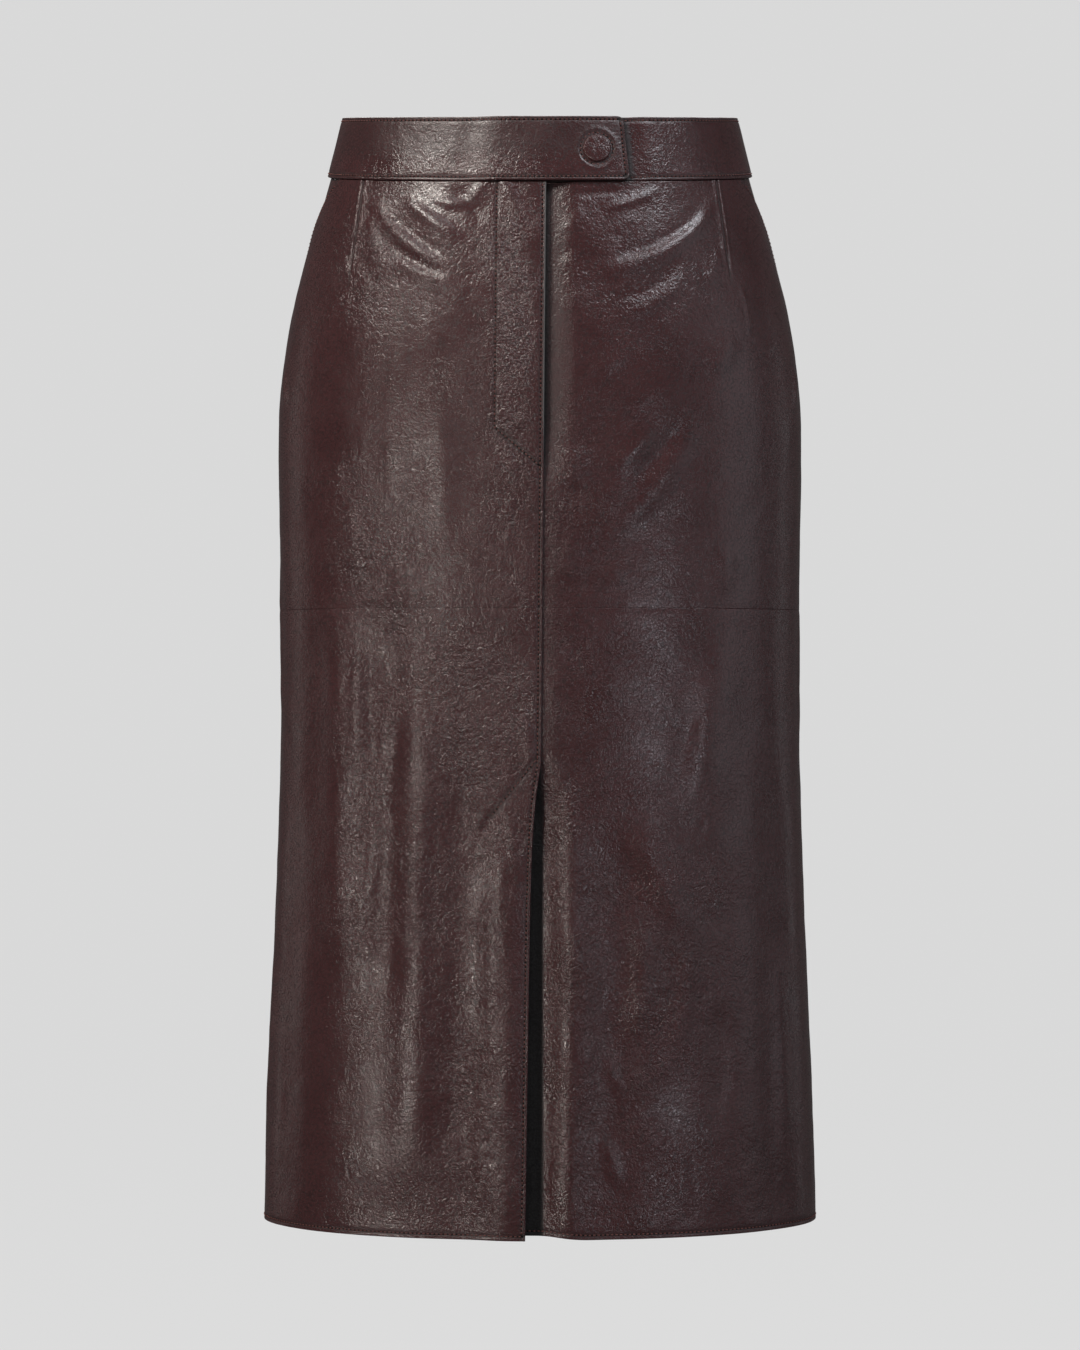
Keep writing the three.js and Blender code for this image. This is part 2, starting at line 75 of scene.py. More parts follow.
# The bare shape: half its width, and how far it reaches forwards and backwards, at each drop.
SECTION_COLUMNS = {"drop": 0, "half": 1, "front": 2, "back": 3}
SECTIONS = np.array([
    (-10, 133.5, 91, 88),
    (0, 136, 92, 90),
    (41, 146.5, 97.5, 99),
    (90, 160.3, 106, 113),
    (140, 172.5, 112, 123.5),
    (190, 179.8, 113.5, 129),
    (235, 181.3, 113, 130),
    (390, 179.2, 110.5, 120.5),
    (540, 183.2, 109.5, 113),
    (680, 189, 110, 110.5),
    (763, 191.4, 110.5, 110),
    (790, 192, 110.6, 110),
], dtype=float)

# The front closure. The right front laps over the left front from the waist to the hem.
FLY_EDGE_X = 4.7
SEAM_X = 0.7
FLY_END_DROP = 247.0
# A painted highlight along the right front's edge at the fly: how much higher each column further in stops,
# and how many columns it covers.
HIGHLIGHT_STEP = 9.0
HIGHLIGHT_COLUMNS = 4
VENT_DROP = 447.0
VENT_SLANT_DROP = 487.0
SLANT_START_DROP = 441.0
SLANT_END_DROP = 480.5
SLANT_INSET = 1.5
SLANT_TRENCH_WIDTH = 1.6
VENT_SWING_QUICK = 7.0
VENT_SWING_LENGTH = 35.0
VENT_SWING_SLOW = 3.5
LAP_LIFT = 0.9
LAP_REACH = 38.0
VENT_FLARE = 3.2
UNDERLAP = {"fly": 32.0, "seam": 10.0, "vent": 33.0}
UNDER_DEPTH = {"fly": 3.8, "seam": 0.8, "vent": 8.5}
UNDER_REACH = {"fly": 20.0, "seam": 9.0, "vent": 26.0}
UNDER_START = {"fly": 0.6, "seam": 0.6, "vent": -4.0}
SETTLED = 3.0
# Painted shadow in the slit of the fly and the vent, reaching past the centre line, and a fainter painted
# shade beside it.
SLIT_WIDTH = {"fly": 2.2, "seam": 0.0, "vent": 1.3}
BESIDE_SLIT = 18.0
BESIDE_SLIT_SHADE = {"fly": 0.3, "seam": 0.12, "vent": 0.0}
FLY_TO_SEAM_WIDTH = (-10.0, 6.0)
FLY_TO_SEAM_DEPTH = (-30.0, 25.0)
SEAM_TO_VENT = (-12.0, 38.0)
FOLD_AT_LAP = (-4.0, 14.0)
FLY_STITCH = 33.0
FLY_STITCH_TURN_DROP = 222.0
FLY_STEP = 0.35
FLY_TRENCH_DEPTH = 0.5
SLANT_END_X = -32.5
SLANT_PUCKER = 10.0

# The waistband's tab and the snap on it.
TAB_END_X = 56.0
TAB_CORNER = 4.0
TAB_LIFT = 2.0
TAB_LIFT_X = (-50.0, -26.0)
UNDER_BAND_DEPTH = 1.6
UNDER_BAND_END_X = -22.0
UNDER_BAND_OUT_X = 57.0
UNDER_BAND_REACH = 16.0
SNAP_X = 37.5
SNAP_DROP = 35.0
SNAP_RADIUS = 9.2
SNAP_HEIGHT = 1.9
SNAP_STITCH_RADIUS = 10.9
SNAP_RAISED = 0.4
SNAP_RAISED_RADIUS = 13.0
SNAP_RAISED_WIDTH = 1.6
SNAP_FALL = 0.25
SNAP_EDGE_RADIUS = 0.95
SNAP_UNEVEN = 0.09
SNAP_STAND = 0.1
SNAP_BACK = 0.2
SNAP_WEAR = 0.7
SNAP_WEAR_WIDTH = 1.2
SNAP_CRINKLE = 0.35

# Pockets and darts.
POCKET_START_ANGLE = 69.0
POCKET_END_DROP = 190.0
POCKET_SWEEP = 4.0
FACING_UNDERLAP = 9.0
FACING_END_DROP = 206.0
FACING_GAP = 0.7
DART_FADE = 30.0
DART_SHADE_WIDTH = 0.55
DART_GROOVE = 1.0
DART_GROOVE_WIDTH = 0.8
DART_SHOULDER = 0.55
DART_SHOULDER_PLACE = 2.2
DART_SHOULDER_WIDTH = 1.5
FRONT_DART = {"top_x": 119.5, "point_x": 129.5, "top_drop": 49.0, "point_drop": 123.0}
BACK_DART = {"top_x": 72.0, "point_x": 80.0, "top_drop": 41.0, "point_drop": 172.0}

# Flat sizes: how wide the leather is for a degree on average, and all round.
FLAT_PER_DEGREE = 2.7
ROUND = FLAT_PER_DEGREE * 360

# The largest folds, ridges where the height is positive and troughs where it is negative, each along
# a line from its upper to its lower end. reach is how far it spreads to each side.
FOLDS = [
    # angle, drop, to angle, to drop, reach, height
    (-50, 320, -47, 600, 16, 2.8),
    (-35, 330, -34, 640, 12, -3.0),
    (-27, 370, -27, 740, 13, 3.0),
    (-16, 420, -17, 790, 14, -3.0),
    (-7, 480, -8, 790, 12, 2.8),
    (6, 455, 4, 790, 11, 2.6),
    (17, 470, 14, 790, 15, -2.0),
    (21, 440, 37, 620, 17, 2.0),
    (45, 330, 38, 520, 15, 2.0),
    (31, 150, 9, 320, 16, 1.6),
    (60, 430, 57, 790, 20, -1.8),
    (-68, 450, -66, 790, 19, -1.8),
    (-34, 70, -14, 118, 11, 1.6),
    (118, 380, 115, 790, 22, 2.4),
    (137, 300, 141, 790, 20, -2.6),
    (158, 360, 160, 790, 21, 2.6),
    (181, 330, 179, 790, 19, -2.4),
    (203, 400, 200, 790, 22, 2.6),
    (224, 320, 221, 790, 20, -2.6),
    (243, 420, 246, 790, 21, 2.2),
    (172, 225, 198, 262, 12, -1.4),
]
FOLD_END = 70.0

# The finer creases of the front, placed by where they show: x and drop of both ends.
FRONT_CREASES = [
    # x, drop, to x, to drop, bow, reach, height
    # Drag folds from the right dart towards the fly.
    (-117, 62, -48, 128, 0, 6, 1.3),
    (-95, 64, -50, 96, 0, 4.5, 1.0),
    (-108, 70, -58, 112, 0, 4, -0.9),
    (-119, 78, -101, 118, 0, 8, 1.1),
    (-102, 104, -44, 133, -1, 5, 1.0),
    (-104, 94, -60, 124, 0, 4, -0.9),
    (-74, 65, -40, 70, -4, 3.5, 0.6),
    (-46, 74, -33, 55, 2, 4, 0.5),
    (-28, 50, -9, 84, 0, 4.5, 0.7),
    (-62, 60, -36, 88, 3, 5, -0.5),
    # Small puckers round the point of the right dart.
    (-126, 110, -113, 128, 1, 2.2, 0.5),
    (-133, 100, -129, 119, 0, 2.4, 0.5),
    (-120, 118, -118, 130, 0, 1.9, 0.4),
    (-130, 124, -122, 136, 0, 2.4, -0.4),
    # Upright creases down the right front.
    (-21, 240, -18, 264, 1, 1.7, 0.45),
    (-18, 266, -22, 286, -1, 1.7, 0.4),
    (-22, 288, -20, 304, 0, 1.7, 0.35),
    (-70, 190, -66, 300, 4, 7, 0.5),
    (-92, 160, -96, 290, -4, 8, 0.5),
    (-128, 268, -125, 330, 3, 6, 0.9),
    (-99, 300, -92, 352, 2, 5, 0.6),
    (-124, 345, -128, 470, 3, 5, 0.8),
    (-114, 350, -112, 470, -2, 4, -0.7),
    (-104, 352, -110, 480, 3, 5, 0.8),
    (-92, 392, -106, 428, 0, 4.5, 0.6),
    (-100, 470, -118, 560, -4, 7, 0.8),
    (-118, 430, -121, 560, 2, 3, -0.4),
    (-72, 450, -76, 640, 2, 5, -0.5),
    (-33, 500, -36, 655, 2, 4, 0.5),
    (-37, 640, -39, 758, -2, 5, 0.7),
    (-54, 655, -30, 640, 2, 3.5, 0.5),
    (-60, 690, -52, 730, 0, 4.5, 0.6),
    # The vent's slanted stitching pulls a pucker.
    (-10, 410, -4, 462, 1, 4, 0.8),
    (-32, 480, -39, 495, 0, 2.2, -0.9),
    (-36, 478, -44, 492, 0, 2.5, 0.5),
    (-30, 494, -28, 556, 2, 3, 0.6),
    (-46, 462, -40, 480, 0, 4, 0.5),
    (-22, 470, -18, 520, 1, 3.5, 0.4),
    # Drag folds from the left dart towards the centre.
    (80, 60, 38, 76, 2, 2.4, 0.5),
    (122, 62, 30, 122, 6, 5, 1.0),
    (112, 70, 46, 108, 4, 4, -0.5),
    (98, 96, 42, 122, 3, 4, 0.4),
    (104, 108, 42, 158, 4, 5, 0.5),
    (90, 112, 48, 140, 2, 4.5, -0.35),
    (60, 172, 36, 186, 1, 5, 0.5),
    (122, 96, 108, 130, 3, 6, 0.4),
    (130, 150, 112, 188, 4, 8, 0.7),
    (80, 54, 12, 60, -3, 2.6, 0.5),
    (60, 62, 16, 66, 1, 2.2, -0.4),
    (134, 118, 141, 160, 4, 2, 0.5),
    (30, 72, 10, 92, 2, 4, 0.4),
    (26, 104, 8, 116, 1, 4, 0.4),
    (106, 212, 42, 300, 5, 7, 1.0),
    (96, 214, 56, 262, 2, 5, -0.7),
    (78, 218, 42, 250, 2, 5, 0.7),
    (26, 232, 22, 268, 0, 8, 0.8),
    (20, 288, 18, 330, 0, 7, 0.6),
    (52, 312, 50, 330, 0, 8, 0.5),
    (128, 300, 120, 336, 2, 8, 0.6),
    # Soft upright folds down the left front.
    (114, 380, 92, 490, 5, 9, 0.7),
    (104, 400, 84, 470, 3, 6, -0.3),
    (60, 478, 112, 572, -6, 8, 1.2),
    (66, 540, 64, 640, 3, 7, 1.1),
    (98, 555, 88, 650, 4, 6, 0.9),
    (120, 600, 116, 700, 4, 9, -0.8),
    (40, 600, 60, 676, -4, 3.5, 0.6),
    (44, 610, 46, 650, 0, 3, -0.4),
    (42, 690, 50, 730, 2, 4, 0.7),
    (22, 560, 20, 700, 2, 6, -0.6),
    (10, 700, 8, 746, 0, 4, 0.7),
    (25, 530, 26, 690, 2, 9, 1.3),
    (160, 560, 166, 750, 4, 9, 0.6),
    (90, 690, 96, 755, 2, 4, 0.4),
    # At the pockets' lower ends.
    (-176, 176, -174, 206, 0, 6, 0.8),
    (176, 176, 174, 206, 0, 6, 0.8),
]

# Finer creases of the sides and back, placed by angle. The photograph doesn't show these.
BACK_CREASES = [
    # angle, drop, to angle, to drop, bow, reach, height
    (104, 70, 118, 150, 4, 7, 0.7),
    (252, 64, 238, 140, -4, 7, 0.7),
    (128, 118, 146, 196, 5, 6, 0.8),
    (232, 110, 214, 184, -5, 6, 0.7),
    (122, 140, 138, 214, 4, 5, -0.6),
    (152, 180, 178, 226, 6, 7, 0.8),
    (206, 176, 184, 230, -6, 7, 0.8),
    (160, 240, 200, 246, 5, 6, -0.8),
    (150, 262, 208, 266, -6, 7, 0.6),
    (112, 214, 134, 288, 6, 8, 0.9),
    (246, 208, 228, 292, -6, 8, 0.9),
    (104, 300, 110, 420, -3, 7, 0.8),
    (256, 306, 250, 440, 3, 7, 0.8),
    (130, 380, 126, 520, 3, 6, 0.9),
    (136, 400, 133, 500, 2, 4, -0.6),
    (148, 420, 152, 600, -4, 7, 1.0),
    (170, 400, 166, 560, 3, 6, 0.8),
    (192, 410, 196, 590, -3, 6, 0.9),
    (212, 380, 210, 520, 4, 5, -0.7),
    (218, 430, 216, 610, -3, 7, 1.0),
    (236, 400, 232, 540, 3, 6, 0.8),
    (122, 590, 118, 740, 3, 6, 0.9),
    (145, 640, 149, 755, -2, 6, 0.8),
    (172, 600, 170, 740, 3, 6, -0.7),
    (188, 620, 192, 755, -2, 6, 0.9),
    (228, 600, 232, 750, 3, 7, 0.9),
    (250, 560, 252, 700, -3, 6, 0.8),
    (96, 560, 99, 750, 2, 8, 0.7),
    (-88, 300, -84, 430, 3, 8, 0.7),
    (88, 320, 85, 450, -3, 8, 0.7),
    (-82, 540, -86, 740, 3, 9, 0.7),
]
CREASE_END = 0.35

# Where the leather is more crinkled than elsewhere.
CRINKLED_PLACES = [
    # angle, drop, reach round the skirt, reach down, strength
    (-8, 90, 22, 60, 0.5),
    (-6, 185, 13, 62, 1.3),
    (-6, 300, 22, 60, 0.6),
    (-48, 95, 30, 40, 0.8),
    (-38, 120, 60, 45, 0.4),
    (-45, 290, 22, 50, 0.8),
    (-33, 330, 24, 60, 0.7),
    (-15, 400, 60, 40, 0.8),
    (-8, 470, 30, 60, 0.7),
    (-28, 520, 26, 110, 0.6),
    (-45, 500, 26, 110, 0.5),
    (-12, 660, 26, 90, 0.8),
    (-22, 730, 60, 30, 0.6),
    (5, 560, 16, 170, 0.5),
    (22, 640, 26, 90, 0.6),
    (30, 560, 44, 70, 0.5),
    (12, 260, 26, 60, 0.4),
    (20, 120, 60, 40, 0.3),
    (140, 420, 90, 90, 0.5),
    (215, 360, 90, 90, 0.5),
    (180, 640, 120, 80, 0.5),
]
CRINKLE_BASE = 0.22

# The spacing of the grids, in millimetres, and the close columns by an edge, a dart and the fly's stitches.
UPPER_SPACING = 1.6
LOWER_SPACING = 2.0
BACK_SPACING = 3.3
BAND_SPACING = 1.3
EDGE_COLUMNS = (0.15, 0.35, 0.6, 1.0, 1.6, 2.2, 2.7, 3.2, 4.0)
DART_COLUMNS = (-3.5, -2.4, -1.5, -0.8, -0.4, 0, 0.4, 0.8, 1.5, 2.4, 3.5)
FLY_COLUMNS = (-2.5, -1.2, -0.5, 0, 0.5, 1.2, 2.5)
EDGE_RADIUS = 0.55
BAND_EDGE_RADIUS = 1.0
STITCH_INSET = 2.5
# Needle holes: small closed pips given a near-black painted shadow, since a hole shows only shade.
HOLE_SIDES = 6
HOLE_SIZE = 0.85
HOLE_TOP = 0.18
HOLE_BOTTOM = -0.25
HEM_STITCH_INSET = 3.2
STITCH_END_ANGLE = 0.8
TRENCH_WIDTH = 0.9
TRENCH_DEPTH = 0.38
SEAM_VALLEY_WIDTH = 3.0
SEAM_VALLEY_DEPTH = 0.18
SEAM_RADIUS = 0.3

# The finishes of a wall of leather, in their order; the last is a painted highlight along the fly's edge.
GRAIN_SIDE, FLESH_SIDE, CUT_EDGE, LAP_EDGE_HIGHLIGHT = range(4)

# How strongly the leather reddens where it is worn, how much painted shade lies along stitches and
# # the painted shadow beside the tab, over which distance in millimetres, what the grain's mottle and its
# # valleys make of the dye, and how dark the painted shadow is.
WEAR = 0.6
WEAR_WIDTH = 0.6
WORN_SHARE = 0.8
STITCH_SHADE = 0.7
MOST_STITCH_SHADE = 0.8
STITCH_SHADE_WIDTH = 0.9
SLANT_SHADE_WIDTH = 1.5
BEHIND_TAB_SHADE = 0.85
BEHIND_TAB_REACH = (0.5, 5.5)
MOTTLED = (0.72, 1.28)
IN_VALLEYS = 0.3
IN_PAINTED_SHADE = 0.04

# The studio, in metres: the room's reach, the bend of its floor into the wall, its height, and how
# far the lights stand from the skirt's middle.
ROOM_REACH = 9.0
ROOM_BEND = 4.0
ROOM_HEIGHT = 12.0
LIGHT_DISTANCE = 2.8


def ease(start, end, value):
    """Smooth step, 3t2 - 2t3, of how far value has come from start to end."""
    t = np.clip((value - start) / (end - start), 0.0, 1.0)
    return t * t * (3.0 - 2.0 * t)


def mix(a, b, t):
    """The straight blend from a to b."""
    return a + (b - a) * t


def bell(distance, width):
    """A bell curve: 1 at no distance, and exp(-1) at the width."""
    return np.exp(-((distance / width) ** 2))


def section(column, drop):
    """A column of the section table at any drop: cubics whose slope at a row is its neighbours' chord."""
    drops = SECTIONS[:, 0]
    values = SECTIONS[:, SECTION_COLUMNS[column]]
    last = len(drops) - 1
    after = np.minimum(np.arange(last + 1) + 1, last)
    before = np.maximum(np.arange(last + 1) - 1, 0)
    slopes = (values[after] - values[before]) / (drops[after] - drops[before])
    i = np.clip(np.searchsorted(drops, drop) - 1, 0, last - 1)
    span = drops[i + 1] - drops[i]
    t = (drop - drops[i]) / span
    leave = (1 + 2 * t) * (1 - t) ** 2 * values[i] + t * (1 - t) ** 2 * span * slopes[i]
    arrive = t * t * (3 - 2 * t) * values[i + 1] + t * t * (t - 1) * span * slopes[i + 1]
    return leave + arrive


def bare_point(angle, drop):
    """A half ellipse in front and another behind: half width times sine, depth times cosine."""
    turn = np.radians(angle)
    depth = np.where(np.cos(turn) > 0, section("front", drop), section("back", drop))
    x = section("half", drop) * np.sin(turn)
    return np.stack([x, -depth * np.cos(turn), ORIGIN_DROP - drop], axis=-1)


def outward(angle, drop):
    """The unit normal of the bare shape: the cross product of short steps down and round."""
    step = 0.5
    around = bare_point(angle + step, drop) - bare_point(angle - step, drop)
    down = bare_point(angle, drop + step) - bare_point(angle, drop - step)
    normal = np.cross(down, around)
    return normal / np.linalg.norm(normal, axis=-1, keepdims=True)


def leather_point(angle, drop, lift):
    """The bare point moved out along its normal by the lift."""
    return bare_point(angle, drop) + outward(angle, drop) * np.asarray(lift)[..., None]


def angle_at(x, drop):
    """The angle on the front at which the bare shape has that x."""
    return np.degrees(np.arcsin(np.clip(x / section("half", drop), -1.0, 1.0)))


def x_at(angle, drop):
    """The x of the bare shape at an angle."""
    return section("half", drop) * np.sin(np.radians(angle))


def degree_length(angle, drop):
    """The length of one degree round the skirt there, from the ellipse's own arc."""
    turn = np.radians(angle)
    depth = np.where(np.cos(turn) > 0, section("front", drop), section("back", drop))
    return np.radians(np.hypot(section("half", drop) * np.cos(turn), depth * np.sin(turn)))


def noise(across, down, size, seed):
    """Gradient noise from about -1 to 1, with features of that size: the slopes at the corners of a
    square lattice blended with 6t5 - 15t4 + 10t3. It joins up with itself once round the skirt."""
    columns = int(round(ROUND / size))
    rows = 512
    turns = np.random.default_rng(seed).uniform(0, 2 * np.pi, (rows, columns))
    u = across / ROUND * columns
    v = down / size
    i, j = np.floor(v).astype(int), np.floor(u).astype(int)
    x, y = u - j, v - i

    def corner(row, column):
        slope = turns[(i + row) % rows, (j + column) % columns]
        return np.cos(slope) * (x - column) + np.sin(slope) * (y - row)

    sx = x * x * x * (x * (6 * x - 15) + 10)
    sy = y * y * y * (y * (6 * y - 15) + 10)
    upper = mix(corner(0, 0), corner(0, 1), sx)
    lower = mix(corner(1, 0), corner(1, 1), sx)
    return mix(upper, lower, sy) * 1.5


def ridges(rows, angle, drop, end_share=None):
    """The sum of soft ridges. Each is a bell across a line that may bow to one side, times its height,
    and eases to nothing at both ends. Two wide noises make the lines wander."""
    total = np.zeros(np.broadcast(angle, drop).shape)
    across = angle * FLAT_PER_DEGREE
    wander = 1.3 * noise(across, drop, 38.0, 5)
    sway = 3.0 * noise(across, drop, 70.0, 6)
    for start, start_drop, end, end_drop, bow, reach, height in rows:
        along = np.array([(end - start) * FLAT_PER_DEGREE, end_drop - start_drop], dtype=float)
        length = np.hypot(*along)
        along /= length
        turns = np.round((start - angle) / 360.0)
        place_x = (angle + 360.0 * turns - start) * FLAT_PER_DEGREE + wander
        place_y = drop - start_drop + sway
        travelled = place_x * along[0] + place_y * along[1]
        t = np.clip(travelled / length, 0.0, 1.0)
        aside = place_x * along[1] - place_y * along[0] - bow * 4 * t * (1 - t)
        end_length = min(FOLD_END, length / 2) if end_share is None else length * end_share
        strength = ease(0, end_length, travelled) * (1 - ease(length - end_length, length, travelled))
        total += height * strength * bell(aside, reach)
    return total


def front_creases_by_angle():
    """The front's crease table with each x turned into the angle that has it at that drop."""
    return [
        (angle_at(x, drop), drop, angle_at(to_x, to_drop), to_drop, bow, reach, height)
        for x, drop, to_x, to_drop, bow, reach, height in FRONT_CREASES
    ]


FOLD_ROWS = [(a, d, b, e, 0, reach, height) for a, d, b, e, reach, height in FOLDS]
CREASE_ROWS = front_creases_by_angle() + BACK_CREASES


def crinkle(angle, drop):
    """How crinkled the leather is, 0 to 1: a low base and a bell on each listed place."""
    total = np.full(np.broadcast(angle, drop).shape, CRINKLE_BASE)
    for place, place_drop, across, down, strength in CRINKLED_PLACES:
        turns = np.round((place - angle) / 360.0)
        u = (angle + 360.0 * turns - place) * FLAT_PER_DEGREE / across
        v = (drop - place_drop) / down
        total += strength * np.exp(-(u * u + v * v))
    broken = 0.75 + 0.5 * noise(angle * FLAT_PER_DEGREE, drop, 30.0, 11)
    return np.clip(total * broken, 0.0, 1.0)


def relief(angle, drop):
    """Folds, creases and the crumpled skin of the leather together, in millimetres."""
    sizes = bpy.context.scene.skirt_sizes
    across = angle * FLAT_PER_DEGREE
    rough = crinkle(angle, drop)
    crumple = noise(across, drop, 27.0, 1) * 0.55
    crumple += noise(across + 0.4 * drop, drop, 13.0, 2) * (0.2 + 0.5 * rough)
    crumple -= np.abs(noise(across, drop, 8.0, 3)) * (0.1 + 0.55 * rough)
    folds = ridges(FOLD_ROWS, angle, drop)
    creases = ridges(CREASE_ROWS, angle, drop, CREASE_END)
    return folds + creases * sizes.crease_depth + crumple * sizes.crumple_depth / METRES


def dip(angle, front_dip):
    """The waistline's fall: the front's dip or the back's rise, times the cosine of the angle."""
    share = np.cos(np.radians(angle))
    return share * np.where(share > 0, front_dip, BACK_RISE)


def band_top(angle):
    """The drop of the waistband's upper edge."""
    return dip(angle, FRONT_DIP_TOP)


def band_bottom(angle):
    """The drop of the waistband's lower edge."""
    return BAND_HEIGHT + dip(angle, FRONT_DIP_BOTTOM)


def panel_top(angle):
    """The drop of the panels' upper edge, a seam gap below the waistband."""
    return band_bottom(angle) + SEAM_GAP


def centre_x(drop):
    """The centre front line, straight from the fly's edge at the waist to the top of the vent."""
    return mix(FLY_EDGE_X, SEAM_X, np.clip(drop / VENT_DROP, 0.0, 1.0))


def lap_edge_x(drop):
    """The right front's edge: the centre line, less an exponential and a power swing in the vent."""
    below = np.maximum(drop - VENT_DROP, 0.0)
    quick = VENT_SWING_QUICK * (1 - np.exp(-below / VENT_SWING_LENGTH))
    slow = VENT_SWING_SLOW * (below / (HEM_DROP - VENT_DROP)) ** 1.5
    return centre_x(drop) - quick - slow


def under_edge_x(drop):
    """The left front's hidden edge: wide behind the fly and the vent, narrow at the seam."""
    fly_share = 1 - ease(FLY_END_DROP + FLY_TO_SEAM_WIDTH[0], FLY_END_DROP + FLY_TO_SEAM_WIDTH[1], drop)
    vent_share = np.clip((drop - VENT_DROP) / (VENT_SLANT_DROP - VENT_DROP), 0.0, 1.0)
    fly = (UNDERLAP["fly"] - UNDERLAP["seam"]) * fly_share
    vent = (UNDERLAP["vent"] - UNDERLAP["seam"]) * vent_share
    return centre_x(drop) - UNDERLAP["seam"] - fly - vent


def by_zone(values, drop):
    """A value that eases from the fly's to the seam's and on to the vent's."""
    in_fly = 1 - ease(FLY_END_DROP + FLY_TO_SEAM_DEPTH[0], FLY_END_DROP + FLY_TO_SEAM_DEPTH[1], drop)
    in_vent = ease(VENT_DROP + SEAM_TO_VENT[0], VENT_DROP + SEAM_TO_VENT[1], drop)
    fly, seam, vent = (values[zone] for zone in ("fly", "seam", "vent"))
    return seam + (fly - seam) * in_fly + (vent - seam) * in_vent


def round_off(distance, radius):
    """A quarter circle's fall within radius of an edge, 0 further in and -radius at the edge."""
    into = radius - np.clip(distance, 0.0, radius)
    return np.sqrt(np.maximum(radius * radius - into * into, 0.0)) - radius


def trench(distance, depth=TRENCH_DEPTH, width=TRENCH_WIDTH):
    """The dent that a row of stitches pulls: a bell of that depth and width."""
    return -depth * bell(distance, width)


def seam_side(distance):
    """A sewn seam's side: a shallow valley that the edge rounds off into."""
    return trench(distance, SEAM_VALLEY_DEPTH, SEAM_VALLEY_WIDTH) + round_off(distance, SEAM_RADIUS)


def dart_line(dart, centre, side):
    """A dart's line as an angle for a drop, from the seam to its point, on one side of the centre."""
    def line(drop):
        low = np.minimum(drop, dart["point_drop"])
        share = np.maximum((low - dart["top_drop"]) / (dart["point_drop"] - dart["top_drop"]), 0.0)
        return centre + side * angle_at(mix(dart["top_x"], dart["point_x"], share), low)
    return line


def pinch(line, dart, angle, drop):
    """A dart: a narrow groove on its line, with the leather beside it raised, fading at its point."""
    aside = (angle - line(drop)) * degree_length(angle, drop)
    strength = 1 - ease(dart["point_drop"] - DART_FADE, dart["point_drop"], drop)
    shoulders = DART_SHOULDER * bell(np.abs(aside) - DART_SHOULDER_PLACE, DART_SHOULDER_WIDTH)
    return (shoulders - DART_GROOVE * bell(aside, DART_GROOVE_WIDTH)) * strength


def on_dart(dart, drop):
    """1 along a dart, and 0 below its point."""
    return 1 - ease(dart["point_drop"] - 4, dart["point_drop"] + 2, drop)


def pocket_line(side):
    """A pocket's edge as an angle for a drop: it leaves the waist seam and bends into the side seam."""
    def line(drop):
        top = panel_top(POCKET_START_ANGLE)
        share = np.clip((drop - top) / (POCKET_END_DROP - top), 0.0, 1.0)
        reached = 1 - (1 - share) ** POCKET_SWEEP
        return side * mix(POCKET_START_ANGLE, SIDE_SEAM_ANGLE - SIDE_GAP_ANGLE, reached)
    return line


def round_distance(line, angle, drop):
    """How far a point is from a line, measured round the skirt."""
    return np.abs(angle - line(drop)) * degree_length(angle, drop)


def fly_stitch_x(drop):
    """The fly's stitching: upright, and slanting in to the centre line at the end."""
    turned = np.clip((drop - FLY_STITCH_TURN_DROP) / (FLY_END_DROP + 1 - FLY_STITCH_TURN_DROP), 0.0, 1.0)
    return mix(centre_x(drop) - FLY_STITCH, centre_x(drop) - STITCH_INSET, turned)


def from_fly_stitch(angle, drop):
    """The distance from the fly's stitching, positive on the centre line's side of it."""
    slope = FLY_STITCH / (FLY_END_DROP + 1 - FLY_STITCH_TURN_DROP)
    slant = np.where(drop > FLY_STITCH_TURN_DROP, np.hypot(slope, 1), 1)
    return (x_at(angle, drop) - fly_stitch_x(drop)) / slant


def from_lap_edge(angle, drop):
    """The distance in from the right front's edge."""
    return lap_edge_x(drop) - x_at(angle, drop)


def lap_lift(angle, drop):
    """The right front: raised towards its edge, flaring in the vent, with the relief fading there."""
    back = from_lap_edge(angle, drop)
    flare = VENT_FLARE * ease(VENT_DROP, HEM_DROP, drop)
    lift = (LAP_LIFT + flare) * (1 - ease(0, LAP_REACH, back))
    lift += relief(angle, drop) * ease(*FOLD_AT_LAP, back)
    return lift + round_off(back, EDGE_RADIUS) + trench(back - STITCH_INSET)


def under_lift(angle, drop):
    """The left front: sunk behind the right front, and coming back out past the centre line."""
    past = x_at(angle, drop) - centre_x(drop) - by_zone(UNDER_START, drop)
    out_again = ease(0, by_zone(UNDER_REACH, drop), past)
    return -by_zone(UNDER_DEPTH, drop) * (1 - out_again) + relief(angle, drop) * out_again


def upper_lift(side, angle, drop):
    """An upper front: its closure, dart, pocket edge with its stitches, and seams."""
    bare = lap_lift if side < 0 else under_lift
    lift = bare(angle, drop) + pinch(dart_line(FRONT_DART, 0, side), FRONT_DART, angle, drop)
    edge = round_distance(pocket_line(side), angle, drop)
    lift += round_off(edge, EDGE_RADIUS) + trench(edge - STITCH_INSET)
    if side < 0:
        from_stitch = from_fly_stitch(angle, drop)
        sewn = 1 - ease(FLY_END_DROP, FLY_END_DROP + 1.5, drop)
        wide = np.where(drop > FLY_STITCH_TURN_DROP, SLANT_TRENCH_WIDTH, TRENCH_WIDTH)
        lift += trench(from_stitch, FLY_TRENCH_DEPTH, wide) * sewn
        lift += FLY_STEP * ease(-1.2, 1.2, from_stitch) * sewn
    return lift + seam_side(PIECING_SEAM_DROP - drop) + round_off(drop - panel_top(angle), EDGE_RADIUS)


def slant_start_x():
    """Where the vent's slanted stitching starts, just in from the right front's edge."""
    return lap_edge_x(SLANT_START_DROP) - SLANT_INSET


